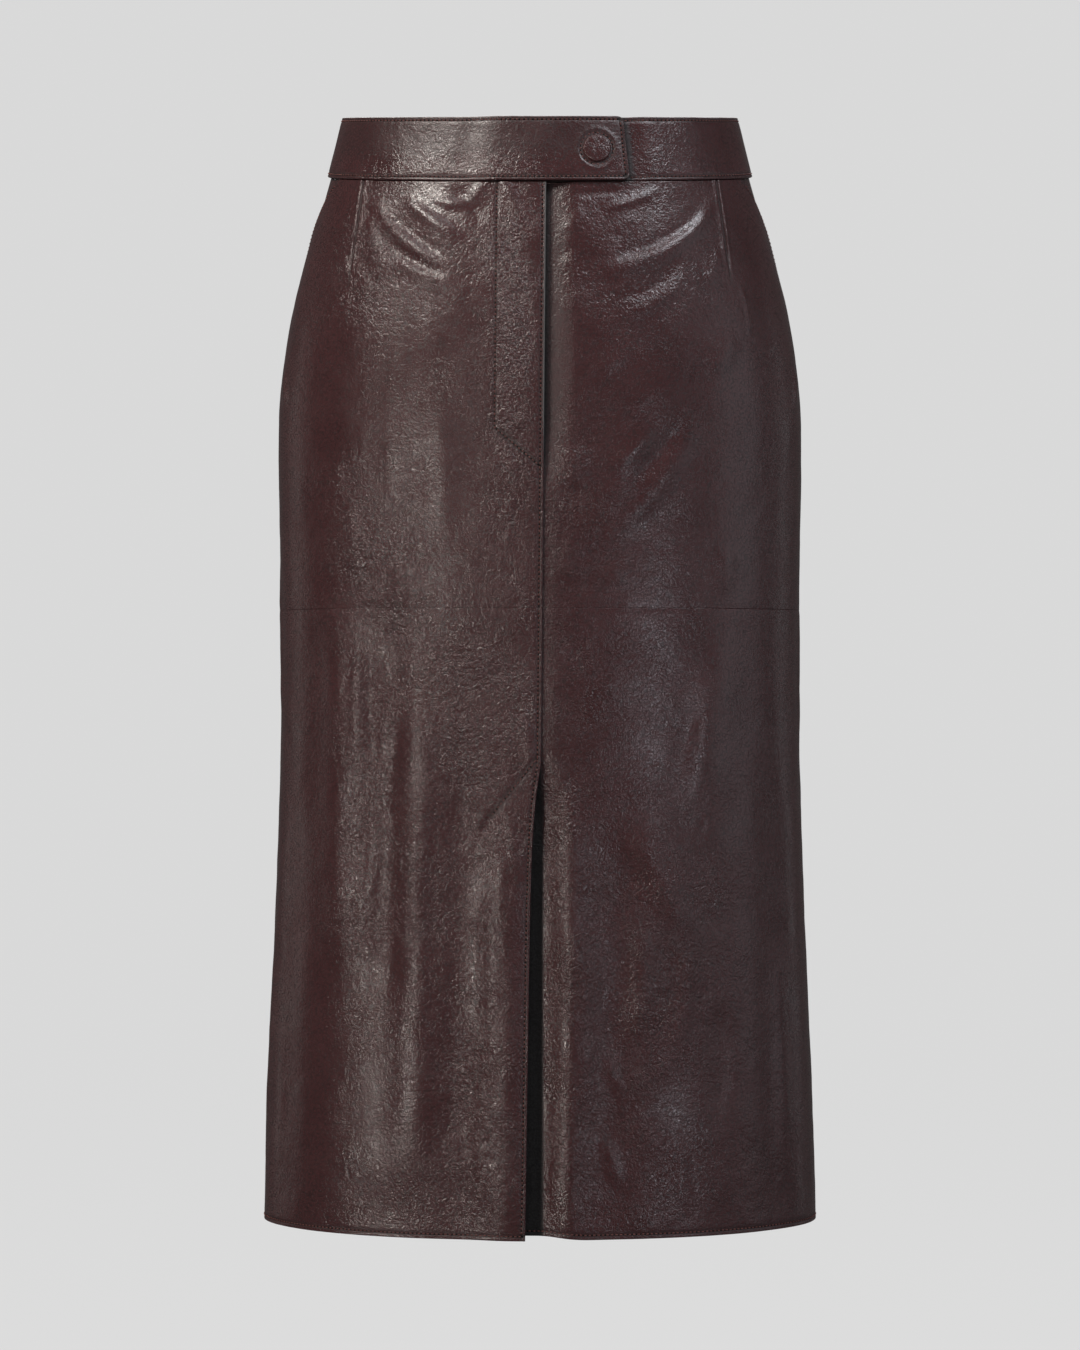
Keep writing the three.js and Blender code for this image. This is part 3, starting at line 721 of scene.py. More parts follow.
def slant_place(angle, drop):
    """Where a point lies by the vent's slanted stitching: its distance from that line, how far along the
    line it is, from the vent's top, and how long the line is."""
    start_x = slant_start_x()
    along = np.array([SLANT_END_X - start_x, SLANT_END_DROP - SLANT_START_DROP])
    length = np.hypot(*along)
    x = x_at(angle, drop) - start_x
    y = drop - SLANT_START_DROP
    return (x * along[1] - y * along[0]) / length, (x * along[0] + y * along[1]) / length, length


def slant_lift(angle, drop):
    """The groove of the vent's slanted stitching, with a deeper pucker at its lower end."""
    aside, along, length = slant_place(angle, drop)
    sewn = ease(-1, 2, along) * (1 - ease(length, length + 2, along))
    puckered = ease(length - SLANT_PUCKER, length, along) * (1 - ease(length, length + SLANT_PUCKER, along))
    groove = trench(aside, depth=0.7, width=SLANT_TRENCH_WIDTH) * sewn
    return groove + trench(aside, depth=1.2, width=2.0) * puckered


def hem_lift(distance):
    """The turned hem: rounded at the edge and drawn in on its stitches."""
    return round_off(distance, EDGE_RADIUS) + trench(distance - HEM_STITCH_INSET)


def left_hem(angle):
    """The left front's hem, a little shorter where it runs behind the right front."""
    past = x_at(angle, HEM_DROP) - centre_x(HEM_DROP)
    return HEM_DROP - UNDERLAP_HEM_RISE * (1 - ease(0, UNDERLAP["vent"], past))


def hem_edge(side):
    """A front's hem as a drop for an angle."""
    return level_hem if side < 0 else left_hem


def lower_lift(side, angle, drop):
    """A lower front: its closure, side seam, piecing seam and hem."""
    bare = lap_lift if side < 0 else under_lift
    lift = bare(angle, drop) + seam_side(round_distance(side_edge(side), angle, drop))
    if side < 0:
        lift += slant_lift(angle, drop)
    return lift + seam_side(drop - PIECING_SEAM_DROP) + hem_lift(hem_edge(side)(angle) - drop)


def back_darts():
    """The lines of both darts of the back."""
    return [dart_line(BACK_DART, 180, side) for side in (-1, 1)]


def back_lift(angle, drop):
    """The back: relief, two darts, side seams, piecing seam and hem."""
    lift = relief(angle, drop)
    for dart in back_darts():
        lift += pinch(dart, BACK_DART, angle, drop)
    for seam in (back_edge(1), back_edge(-1)):
        lift += seam_side(round_distance(seam, angle, drop))
    lift += seam_side(np.abs(drop - PIECING_SEAM_DROP)) + hem_lift(HEM_DROP - drop)
    return lift + round_off(drop - panel_top(angle), EDGE_RADIUS)


def facing_lift(side, angle, drop):
    """A pocket facing: the leather behind the front panel's edge."""
    wall = bpy.context.scene.skirt_sizes.leather / METRES
    seam = round_distance(side_edge(side), angle, drop)
    lift = relief(angle, drop) * ease(0, 20, FACING_END_DROP - drop) - wall - FACING_GAP
    return lift + round_off(seam, EDGE_RADIUS)


def band_relief(angle, drop):
    """The band's own soft unevenness: low wide noise and small upright ripples."""
    across = angle * FLAT_PER_DEGREE
    rough = 0.3 + 0.7 * crinkle(angle, drop)
    return 0.28 * noise(across, drop, 24.0, 21) + 0.16 * rough * noise(across * 1.6, drop, 9.0, 22)


def band_edges(angle, drop, top=band_top, bottom=band_bottom):
    """A band's long edges rounded off, with a dent along each row of stitches."""
    from_top = drop - top(angle)
    from_bottom = bottom(angle) - drop
    lift = round_off(from_top, BAND_EDGE_RADIUS) + round_off(from_bottom, BAND_EDGE_RADIUS)
    return lift + trench(from_top - STITCH_INSET) + trench(from_bottom - STITCH_INSET)


def from_tab_end(angle):
    """The distance in from the tab's end."""
    return TAB_END_X - x_at(angle, ORIGIN_DROP)


def tab_rounding(angle):
    """How far the tab's edges come in round its corners: a quarter circle."""
    into = np.clip(x_at(angle, ORIGIN_DROP) - (TAB_END_X - TAB_CORNER), 0.0, TAB_CORNER)
    return TAB_CORNER - np.sqrt(TAB_CORNER**2 - into**2)


def from_snap(angle, drop):
    """The distance from the middle of the snap, on the band."""
    return np.hypot(x_at(angle, drop) - SNAP_X, drop - SNAP_DROP)


def right_band_top(angle):
    """The right band's upper edge, with the tab's corner."""
    return band_top(angle) + tab_rounding(angle)


def right_band_bottom(angle):
    """The right band's lower edge, with the tab's corner."""
    return band_bottom(angle) - tab_rounding(angle)


def right_band_lift(angle, drop):
    """The right band: it rises to the tab, is rounded at the tab's end and dented round the snap."""
    from_end = from_tab_end(angle)
    lift = BAND_LIFT + TAB_LIFT * ease(*TAB_LIFT_X, x_at(angle, ORIGIN_DROP)) + band_relief(angle, drop)
    lift += band_edges(angle, drop, right_band_top, right_band_bottom)
    lift += round_off(from_end, BAND_EDGE_RADIUS) + trench(from_end - STITCH_INSET)
    around = from_snap(angle, drop)
    dent = trench(around - SNAP_STITCH_RADIUS, depth=0.6, width=0.8)
    lift += dent + SNAP_RAISED * bell(around - SNAP_RAISED_RADIUS, SNAP_RAISED_WIDTH)
    return lift + round_off(round_distance(side_edge(-1), angle, drop), EDGE_RADIUS)


def left_band_lift(angle, drop):
    """The left band: sunk behind the tab, and out again past its end."""
    past = x_at(angle, ORIGIN_DROP) - UNDER_BAND_OUT_X
    out_again = ease(0, UNDER_BAND_REACH, past)
    lift = BAND_LIFT - UNDER_BAND_DEPTH * (1 - out_again) + band_relief(angle, drop) * out_again
    lift += band_edges(angle, drop)
    return lift + round_off(round_distance(side_edge(1), angle, drop), EDGE_RADIUS)


def back_band_lift(angle, drop):
    """The back band, between the side seams."""
    lift = BAND_LIFT + band_relief(angle, drop) + band_edges(angle, drop)
    for seam in (back_edge(1), back_edge(-1)):
        lift += round_off(round_distance(seam, angle, drop), EDGE_RADIUS)
    return lift


def steady(angle):
    """A line that has the same angle at every drop."""
    return lambda drop: np.full(np.shape(drop), float(angle))


def side_edge(side):
    """The front's edge at a side seam."""
    return steady(side * (SIDE_SEAM_ANGLE - SIDE_GAP_ANGLE))


def back_edge(side):
    """The back's edge at a side seam, as an angle from 0 to 360."""
    edge = SIDE_SEAM_ANGLE + SIDE_GAP_ANGLE
    return steady(edge if side > 0 else 360 - edge)


def line_at_x(x_of):
    """A line of angles from a function that gives x for a drop."""
    return lambda drop: angle_at(x_of(drop), drop)


def beside(line, distance):
    """A line shifted round the skirt by a distance."""
    return lambda drop: line(drop) + distance / degree_length(line(drop), drop)


def band_line(x):
    """The upright line across the band at an x."""
    return steady(angle_at(x, ORIGIN_DROP))


def facing_hidden_edge(side):
    """A facing's hidden edge, behind the front panel."""
    return lambda drop: pocket_line(side)(drop) - side * FACING_UNDERLAP


def edge_stops(line, inward, every=None):
    """Close columns just inside an edge. inward is 1 where the panel lies at larger angles, and every
    is the spacing up to the first of them."""
    places = EDGE_COLUMNS if inward > 0 else EDGE_COLUMNS[::-1]
    near = [beside(line, inward * distance) for distance in places]
    lines = [line, *near] if inward > 0 else [*near, line]
    return [(lines[0], every), *[(next_line, None) for next_line in lines[1:]]]


def stops_around(line, distances):
    """Columns at those distances to each side of a line."""
    lines = [beside(line, distance) for distance in distances]
    return [(lines[0], 1), *[(next_line, None) for next_line in lines[1:]]]


def level_stops(first, last, spacing, fine_bottom=True):
    """Drops from first to last, close together just inside an edge that is rounded off."""
    fine = np.array(EDGE_COLUMNS)
    top = first + fine
    bottom = last - fine[::-1] if fine_bottom else np.array([])
    stop = bottom[0] if fine_bottom else last
    steps = max(int(round((stop - top[-1]) / spacing)), 1)
    middle = np.linspace(top[-1], stop, steps + 1)[1:-1]
    return np.concatenate([[first], top, middle, bottom, [last]])


def grid_angles(stops, spacing, drop, middle_drop):
    """Angles for a grid: even steps of the spacing between one stop's line and the next's, at each
    point's own drop. A stop with a spacing of None comes straight after the one before it."""
    counts = [1]
    for (line, _), (next_line, every) in zip(stops, stops[1:]):
        gap = abs(float(next_line(middle_drop) - line(middle_drop))) * FLAT_PER_DEGREE
        counts.append(1 if every is None else max(int(round(gap / (every * spacing))), 1))
    if drop is None:
        return sum(counts)
    blocks = [stops[0][0](drop[:, :1])]
    start = 1
    for (line, _), (next_line, _), count in zip(stops, stops[1:], counts[1:]):
        share = np.arange(1, count + 1) / count
        place = drop[:, start:start + count]
        blocks.append(mix(line(place), next_line(place), share))
        start += count
    return np.concatenate(blocks, axis=1)


def lay_out(stops, levels, top, bottom, spacing):
    """The grid of a panel: its angles and drops. The levels' shares are fitted between the upper and
    the lower edge, which depend on the angle, by three rounds of putting each into the other."""
    share = ((levels - levels[0]) / (levels[-1] - levels[0]))[:, None]
    middle = np.array((levels[0] + levels[-1]) / 2)
    columns = grid_angles(stops, spacing, None, middle)
    drop = np.repeat(levels[:, None], columns, axis=1)
    for _ in range(3):
        angle = grid_angles(stops, spacing, drop, middle)
        drop = mix(top(angle), bottom(angle), share)
    return grid_angles(stops, spacing, drop, middle), drop


def grid_quads(rows, columns, start=0):
    """Corner numbers of the quads of a grid, turned so that they face out of the skirt."""
    i, j = np.meshgrid(np.arange(rows - 1), np.arange(columns - 1), indexing="ij")
    first = start + i * columns + j
    return np.stack([first, first + columns, first + columns + 1, first + 1], axis=-1).reshape(-1, 4)


def rim_quads(rows, columns):
    """Corner numbers of the strip that joins the outer grid's border to the inner grid's."""
    top = np.arange(columns)
    right = (np.arange(1, rows)) * columns + columns - 1
    bottom = (rows - 1) * columns + np.arange(columns - 2, -1, -1)
    left = np.arange(rows - 2, 0, -1) * columns
    border = np.concatenate([top, right, bottom, left])
    following = np.roll(border, -1)
    inner = rows * columns
    return np.stack([border, following, following + inner, border + inner], axis=-1)


def ring_quads(rings, sides):
    """Corner numbers of the quads between closed rings of points."""
    i, j = np.meshgrid(np.arange(rings - 1), np.arange(sides), indexing="ij")
    first = i * sides + j
    second = i * sides + (j + 1) % sides
    return np.stack([first, second, second + sides, first + sides], axis=-1).reshape(-1, 4)


def new_piece(name, points, faces, smooth, material_index, materials, values=None, flat=None):
    """A mesh object from arrays: points in millimetres, faces as corner numbers, and what is stored
    with each point."""
    mesh = bpy.data.meshes.new(name)
    mesh.from_pydata(points * METRES, [], faces)
    mesh.polygons.foreach_set("use_smooth", smooth)
    mesh.polygons.foreach_set("material_index", material_index)
    for key, value in (values or {}).items():
        attribute = mesh.attributes.new(key, "FLOAT", "POINT")
        attribute.data.foreach_set("value", np.asarray(value, dtype=np.float32).ravel())
    if flat is not None:
        corners = np.empty(len(mesh.loops), dtype=np.int32)
        mesh.loops.foreach_get("vertex_index", corners)
        layer = mesh.uv_layers.new(name="Flat")
        layer.uv.foreach_set("vector", (flat[corners] * METRES).astype(np.float32).ravel())
    for material in materials:
        mesh.materials.append(material)
    mesh.update()
    piece = bpy.data.objects.new(name, mesh)
    bpy.context.scene.collection.objects.link(piece)
    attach(piece, "root")
    return piece


def slit_shade(angle, drop):
    """Painted shadow where the left front lies in the dark of the fly and the vent: 1 behind the right
    front's edge, faint painted shade just past the centre line, and easing to 0 from there."""
    boundary = centre_x(drop) + by_zone(SLIT_WIDTH, drop)
    x = x_at(angle, drop)
    dim = by_zone(BESIDE_SLIT_SHADE, drop) * (1 - ease(boundary, boundary + BESIDE_SLIT, x))
    return np.maximum(dim, 1 - ease(boundary - 0.9, boundary + 0.9, x))


def nothing(angle, drop):
    """No wear or painted shade anywhere."""
    return np.zeros(angle.shape)


def leather_wall(name, angle, drop, lift, wall, wear, painted_shade, highlight_columns):
    """A closed wall of leather: the outer grid, the same grid moved in by the wall, and the rim. The last
    columns get a painted highlight: the outermost down to the fly's end, and each further in ends a step
    higher."""
    rows, columns = angle.shape
    outer = leather_point(angle, drop, lift).reshape(-1, 3)
    inner = leather_point(angle, drop, lift - wall).reshape(-1, 3)
    outside = grid_quads(rows, columns)
    inside = grid_quads(rows, columns, rows * columns)[:, ::-1]
    rim = rim_quads(rows, columns)
    faces = np.concatenate([outside, inside, rim])
    walls = len(outside) + len(inside)
    smooth = np.arange(len(faces)) < walls
    kinds = np.array([GRAIN_SIDE, FLESH_SIDE, CUT_EDGE], dtype=np.int32)
    kind = np.repeat(kinds, [len(outside), len(inside), len(rim)])
    # Painted highlight along the fly's edge.
    if highlight_columns:
        strip = kind[:len(outside)].reshape(rows - 1, columns - 1)[:, -highlight_columns:]
        ends = FLY_END_DROP - HIGHLIGHT_STEP * np.arange(highlight_columns)[::-1]
        strip[drop[1:, -highlight_columns:] < ends] = LAP_EDGE_HIGHLIGHT
    flat = np.stack([angle * FLAT_PER_DEGREE, -drop], axis=-1).reshape(-1, 2)
    values = {
        "crinkle": np.tile(crinkle(angle, drop).ravel(), 2),
        "wear": np.tile(np.clip(wear, 0.0, 1.0).ravel(), 2),
        "painted_shade": np.tile(painted_shade.ravel(), 2),
    }
    return new_piece(
        name + "_leather", np.concatenate([outer, inner]), faces.tolist(), smooth, kind, wall_materials(),
        values, np.tile(flat, (2, 1)),
    )


def declare(node):
    """Hides the CAD node that a piece stands for."""
    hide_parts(node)


def make_panel(node, stops, drops, edges, spacing, lift, wear=nothing, painted_shade=nothing,
               fine_bottom=True, highlight_columns=0):
    sizes = bpy.context.scene.skirt_sizes
    wall = (sizes.band_wall if node.startswith("waistband") else sizes.leather) / METRES
    angle, drop = lay_out(stops, level_stops(*drops, spacing, fine_bottom), *edges, spacing)
    piece = leather_wall(
        node, angle, drop, lift(angle, drop), wall, wear(angle, drop), painted_shade(angle, drop), highlight_columns
    )
    declare(node)


def node_group(name, inputs, outputs):
    """An empty shader group with named sockets, each a name, a kind and, for an input, a default."""
    group = bpy.data.node_groups.new(name, "ShaderNodeTree")
    for socket_name, kind, value in inputs:
        socket = group.interface.new_socket(socket_name, in_out="INPUT", socket_type=kind)
        socket.default_value = value
    for socket_name, kind in outputs:
        group.interface.new_socket(socket_name, in_out="OUTPUT", socket_type=kind)
    return group, group.nodes.new("NodeGroupInput"), group.nodes.new("NodeGroupOutput")


def connect(tree, socket, value):
    """Links a socket to another one, or gives it a number or a colour."""
    if isinstance(value, bpy.types.NodeSocket):
        tree.links.new(value, socket)
    else:
        socket.default_value = value


def add_node(tree, kind, **settings):
    """A node of a kind, with its own settings such as an operation."""
    node = tree.nodes.new("ShaderNode" + kind)
    for name, value in settings.items():
        setattr(node, name, value)
    return node


def object_place(tree):
    """The place of a point in its object."""
    return add_node(tree, "TexCoord").outputs["Object"]


def math_node(tree, operation, *values):
    """A Math node on sockets or numbers. Returns its output."""
    node = add_node(tree, "Math", operation=operation)
    for socket, value in zip(node.inputs, values):
        connect(tree, socket, value)
    return node.outputs[0]


def noise_node(tree, vector, scale, detail=2.0, roughness=0.5, distortion=0.0):
    """A Noise Texture on a vector."""
    node = add_node(tree, "TexNoise")
    names = ("Vector", "Scale", "Detail", "Roughness", "Distortion")
    for name, value in zip(names, (vector, scale, detail, roughness, distortion)):
        connect(tree, node.inputs[name], value)
    return node


def map_range(tree, value, from_low, from_high, to_low, to_high, smooth=False):
    """A Map Range node. Returns its output."""
    node = add_node(tree, "MapRange", interpolation_type="SMOOTHSTEP" if smooth else "LINEAR")
    for socket, number in zip(node.inputs, (value, from_low, from_high, to_low, to_high)):
        connect(tree, socket, number)
    return node.outputs[0]


def mix_colour(tree, share, first, second):
    """A blend of two colours, each a socket or a plain colour. Returns the result."""
    node = add_node(tree, "Mix", data_type="RGBA")
    connect(tree, node.inputs["Factor"], share)
    for socket, value in ((node.inputs[6], first), (node.inputs[7], second)):
        connect(tree, socket, value if isinstance(value, bpy.types.NodeSocket) else (*value, 1.0))
    return node.outputs[2]


def attribute_value(tree, name):
    """The value stored with each point under a name."""
    return add_node(tree, "Attribute", attribute_name=name).outputs["Fac"]


def bump(tree, shader, height, distance=1.0):
    """Gives a shader a bump of that height."""
    node = add_node(tree, "Bump")
    node.inputs["Distance"].default_value = distance
    tree.links.new(height, node.inputs["Height"])
    tree.links.new(node.outputs["Normal"], shader.inputs["Normal"])


def new_material(name):
    """A material with nodes. Returns it, its tree and its shader."""
    material = bpy.data.materials.new(name)
    material.use_nodes = True
    return material, material.node_tree, material.node_tree.nodes["Principled BSDF"]


def grain_group():
    """Leather grain: rounded pebbles from a warped Voronoi's distances, a softer noise a few pebbles
    wide, ridged noise as fine wrinkles where the leather is crinkled, and a mottle. Height is in metres."""
    known = bpy.data.node_groups.get("Leather grain")
    if known:
        return known
    group, inputs, outputs = node_group(
        "Leather grain",
        [
            ("Grain", "NodeSocketFloat", 560.0),
            ("Pebble Depth", "NodeSocketFloat", 0.0002),
            ("Wrinkle Depth", "NodeSocketFloat", 0.0004),
            ("Crinkle", "NodeSocketFloat", 0.3),
        ],
        [("Height", "NodeSocketFloat"), ("Valleys", "NodeSocketFloat"), ("Mottle", "NodeSocketFloat")],
    )
    place = object_place(group)
    shift = add_node(group, "VectorMath", operation="MULTIPLY_ADD")
    connect(group, shift.inputs[0], noise_node(group, place, scale=300.0).outputs["Color"])
    connect(group, shift.inputs[1], (0.0022, 0.0022, 0.0022))
    connect(group, shift.inputs[2], place)

    def cells(feature, factor, far):
        node = add_node(group, "TexVoronoi", feature=feature)
        connect(group, node.inputs["Vector"], shift.outputs[0])
        connect(group, node.inputs["Scale"], math_node(group, "MULTIPLY", inputs.outputs["Grain"], factor))
        return map_range(group, node.outputs["Distance"], 0.0, far, 0.0, 1.0, smooth=feature != "F1")

    def creased(scale, detail, distortion):
        value = noise_node(group, place, scale, detail, 0.55, distortion).outputs["Fac"]
        far = math_node(group, "ABSOLUTE", math_node(group, "SUBTRACT", value, 0.5))
        return map_range(group, far, 0.0, 0.12, 0.0, 1.0)

    def blend(first, share, second):
        rest = math_node(group, "MULTIPLY", second, 1 - share)
        return math_node(group, "MULTIPLY_ADD", first, share, rest)

    away = cells("F1", 1.0, 0.75)
    tops = math_node(group, "SUBTRACT", 1.0, math_node(group, "MULTIPLY", away, away))
    pebbles = blend(cells("DISTANCE_TO_EDGE", 1.0, 0.16), 0.4, tops)
    grain = blend(cells("DISTANCE_TO_EDGE", 2.1, 0.3), 0.16, pebbles)
    wrinkles = blend(creased(170.0, 3.0, 0.6), 0.65, creased(400.0, 2.0, 0.4))
    soft = noise_node(group, place, scale=210.0).outputs["Fac"]
    raised = math_node(group, "MULTIPLY_ADD", soft, 3.0, grain)
    strength = math_node(group, "MULTIPLY", inputs.outputs["Crinkle"], inputs.outputs["Wrinkle Depth"])
    wrinkled = math_node(group, "MULTIPLY", wrinkles, strength)
    made = {
        "Height": math_node(group, "MULTIPLY_ADD", raised, inputs.outputs["Pebble Depth"], wrinkled),
        "Valleys": math_node(group, "SUBTRACT", 1.0, grain),
        "Mottle": noise_node(group, place, 34.0, 4.0, 0.6).outputs["Fac"],
    }
    for name, value in made.items():
        connect(group, outputs.inputs[name], value)
    return group


def leather_material(name, finish):
    """Dyed glossy leather: dark in the grain's valleys, darker and rougher under painted shade, redder
    where it is worn or pulled over an edge."""
    material, tree, shader = new_material(name)
    grain = tree.nodes.new("ShaderNodeGroup")
    grain.node_tree = grain_group()
    given = {
        "Grain": 1.0 / finish.grain,
        "Pebble Depth": finish.grain_depth,
        "Wrinkle Depth": finish.wrinkle_depth,
        "Crinkle": attribute_value(tree, "crinkle"),
    }
    for socket_name, value in given.items():
        connect(tree, grain.inputs[socket_name], value)
    mottle, valleys = grain.outputs["Mottle"], grain.outputs["Valleys"]
    # The painted shade and shadow: darkens the dye nearly to black and makes the leather rougher.
    hidden = attribute_value(tree, "painted_shade")

    base = np.array(finish.leather_colour)
    mottled = mix_colour(tree, mottle, base * MOTTLED[0], base * MOTTLED[1])
    shaded = mix_colour(tree, valleys, mottled, base * IN_VALLEYS)
    worn_share = math_node(tree, "MULTIPLY", attribute_value(tree, "wear"), WORN_SHARE)
    lit = mix_colour(tree, worn_share, shaded, np.array(finish.worn_colour))
    connect(tree, shader.inputs["Base Color"], mix_colour(tree, hidden, lit, base * IN_PAINTED_SHADE))

    rough = map_range(tree, mottle, 0.3, 0.7, finish.roughness - 0.04, finish.roughness + 0.06)
    rough = math_node(tree, "MULTIPLY_ADD", valleys, finish.valley_roughness, rough)
    connect(tree, shader.inputs["Roughness"], math_node(tree, "MULTIPLY_ADD", hidden, 0.6, rough))
    shader.inputs["Specular IOR Level"].default_value = 0.8
    bump(tree, shader, grain.outputs["Height"])
    return material


def plain_material(name, colour, roughness, scale, depth, contrast=0.25):
    """A matt finish with a fine noise in its colour and bump, for flesh side, cut edges and thread, and for
    the needle holes' painted shadow and the fly edge's painted highlight.
    """
    material, tree, shader = new_material(name)
    fibre = noise_node(tree, object_place(tree), scale, 3.0, 0.6).outputs["Fac"]
    colour = np.array(colour)
    dyed = mix_colour(tree, fibre, colour * (1 - contrast), colour * (1 + contrast))
    connect(tree, shader.inputs["Base Color"], dyed)
    shader.inputs["Roughness"].default_value = roughness
    shader.inputs["Specular IOR Level"].default_value = 0.3
    bump(tree, shader, fibre, depth)
    return material


def wall_materials():
    """The finishes of a wall of leather: grain side, flesh side, cut edge and a painted highlight for the
    fly's edge.
    """
    finish = bpy.context.scene.skirt_finish
    made = [bpy.data.materials.get("Leather") or leather_material("Leather", finish)]
    for name, colour, roughness, scale, depth in (
        ("Leather flesh side", finish.flesh_colour, 0.85, 900.0, 0.0003),
        ("Leather cut edge", finish.edge_colour, 0.55, 1200.0, 0.0001),
        ("Lap edge highlight", finish.lap_edge_highlight_colour, 0.35, 1200.0, 0.0001),
    ):
        made.append(bpy.data.materials.get(name) or plain_material(name, colour, roughness, scale, depth))
    return made


def edge_wear(*distances):
    """Redder leather close to the lines at those distances: a bell about a millimetre wide."""
    return sum(WEAR * bell(distance, WEAR_WIDTH) for distance in distances)


def painted_stitch_shade(*distances, width=STITCH_SHADE_WIDTH):
    """Painted shade along the rows of stitches at those distances, as bells of that width."""
    total = sum(STITCH_SHADE * bell(distance, width) for distance in distances)
    return np.minimum(total, MOST_STITCH_SHADE)


def upper_wear(side, angle, drop):
    """An upper front: worn along its pocket edge and its dart."""
    dart = round_distance(dart_line(FRONT_DART, 0, side), angle, drop)
    pocket = round_distance(pocket_line(side), angle, drop)
    return edge_wear(pocket) + edge_wear(dart) * on_dart(FRONT_DART, drop)


def upper_shade(side, angle, drop):
    """An upper front: painted shade along its stitches and in its dart, and a painted shadow in the fly."""
    dart = round_distance(dart_line(FRONT_DART, 0, side), angle, drop)
    painted_shade = painted_stitch_shade(round_distance(pocket_line(side), angle, drop) - STITCH_INSET)
    painted_shade = painted_shade + painted_stitch_shade(dart, width=DART_SHADE_WIDTH) * on_dart(FRONT_DART, drop)
    if side > 0:
        return np.maximum(painted_shade, slit_shade(angle, drop))
    sewn = 1 - ease(FLY_END_DROP, FLY_END_DROP + 2, drop)
    wide = np.where(drop > FLY_STITCH_TURN_DROP, SLANT_SHADE_WIDTH, STITCH_SHADE_WIDTH)
    painted_shade = painted_shade + painted_stitch_shade(from_lap_edge(angle, drop) - STITCH_INSET)
    return painted_shade + painted_stitch_shade(from_fly_stitch(angle, drop), width=wide) * sewn


def back_wear(angle, drop):
    """The upper back: worn along its darts."""
    darts = [round_distance(dart, angle, drop) for dart in back_darts()]
    return edge_wear(*darts) * on_dart(BACK_DART, drop)


def hem_wear(hem, angle, drop):
    """A lower panel: worn along its hem."""
    return edge_wear(hem(angle) - drop)


def hem_shade(hem, angle, drop):
    """A lower panel: painted shade along its hem's stitches."""
    return painted_stitch_shade(hem(angle) - drop - HEM_STITCH_INSET)


def lower_shade(side, angle, drop):
    """A lower front: painted shade along its stitches, and a painted shadow in the vent."""
    painted_shade = hem_shade(hem_edge(side), angle, drop)
    if side > 0:
        return np.maximum(painted_shade, slit_shade(angle, drop))
    aside, along, length = slant_place(angle, drop)
    sewn = ease(-1, 2, along) * (1 - ease(length, length + 3, along))
    slanted = painted_stitch_shade(aside, width=SLANT_SHADE_WIDTH) * sewn
    return painted_shade + painted_stitch_shade(from_lap_edge(angle, drop) - STITCH_INSET) + slanted


def band_shade(angle, drop):
    """A band: painted shade along both rows of stitches."""
    return painted_stitch_shade(drop - band_top(angle) - STITCH_INSET, band_bottom(angle) - drop - STITCH_INSET)


def left_band_shade(angle, drop):
    """The left band: a painted shadow where it runs on behind the tab and just past the tab's end, and
    painted shade along its stitches.
    """
    behind = 1 - ease(*BEHIND_TAB_REACH, -from_tab_end(angle))
    return np.maximum(band_shade(angle, drop), BEHIND_TAB_SHADE * behind)


def right_band_wear(angle, drop):
    """The right band: worn along the tab's end."""
    return edge_wear(from_tab_end(angle))


def right_band_shade(angle, drop):
    """The right band: painted shade along its stitches, and a little over its upper half to dim its
    highlight.
    """
    from_top = drop - band_top(angle)
    painted_shade = painted_stitch_shade(
        from_top - STITCH_INSET,
        band_bottom(angle) - drop - STITCH_INSET,
        from_tab_end(angle) - STITCH_INSET,
        from_snap(angle, drop) - SNAP_STITCH_RADIUS,
    )
    return np.maximum(painted_shade, BAND_SHADE * (1 - ease(*BAND_SHADE_DROP, from_top)))


def under_stops(zone):
    """The columns of a left front from its hidden edge to where it has risen out of a zone's slot."""
    return [
        (line_at_x(under_edge_x), None),
        (line_at_x(lambda drop: centre_x(drop) + UNDER_START["fly"]), 1),
        (line_at_x(lambda drop: centre_x(drop) + UNDER_REACH[zone] + SETTLED), 0.7),
    ]


def front_upper_stops(side):
    """The columns of an upper front, closest together at its edges, fly stitches and dart."""
    dart = stops_around(dart_line(FRONT_DART, 0, side), DART_COLUMNS)
    if side > 0:
        return [*under_stops("fly"), *dart, *edge_stops(pocket_line(side), -1, 1)]
    fly = stops_around(line_at_x(lambda drop: centre_x(drop) - FLY_STITCH), FLY_COLUMNS)
    return [*edge_stops(pocket_line(side), 1), *dart, *fly, *edge_stops(line_at_x(lap_edge_x), -1, 1)]


def front_lower_stops(side):
    """The columns of a lower front."""
    if side > 0:
        return [*under_stops("vent"), *edge_stops(side_edge(side), -1, 1)]
    return [*edge_stops(side_edge(side), 1), *edge_stops(line_at_x(lap_edge_x), -1, 1)]


def upper_bottom(angle):
    """The upper panels' lower edge."""
    return np.full(np.shape(angle), PIECING_SEAM_DROP - PIECING_GAP / 2)


def facing_bottom(angle):
    """The pocket facings' lower edge."""
    return np.full(np.shape(angle), FACING_END_DROP)


def lower_top(angle):
    """The lower panels' upper edge."""
    return np.full(np.shape(angle), PIECING_SEAM_DROP + PIECING_GAP / 2)


def level_hem(angle):
    """The hem of the right front and the back."""
    return np.full(np.shape(angle), HEM_DROP)


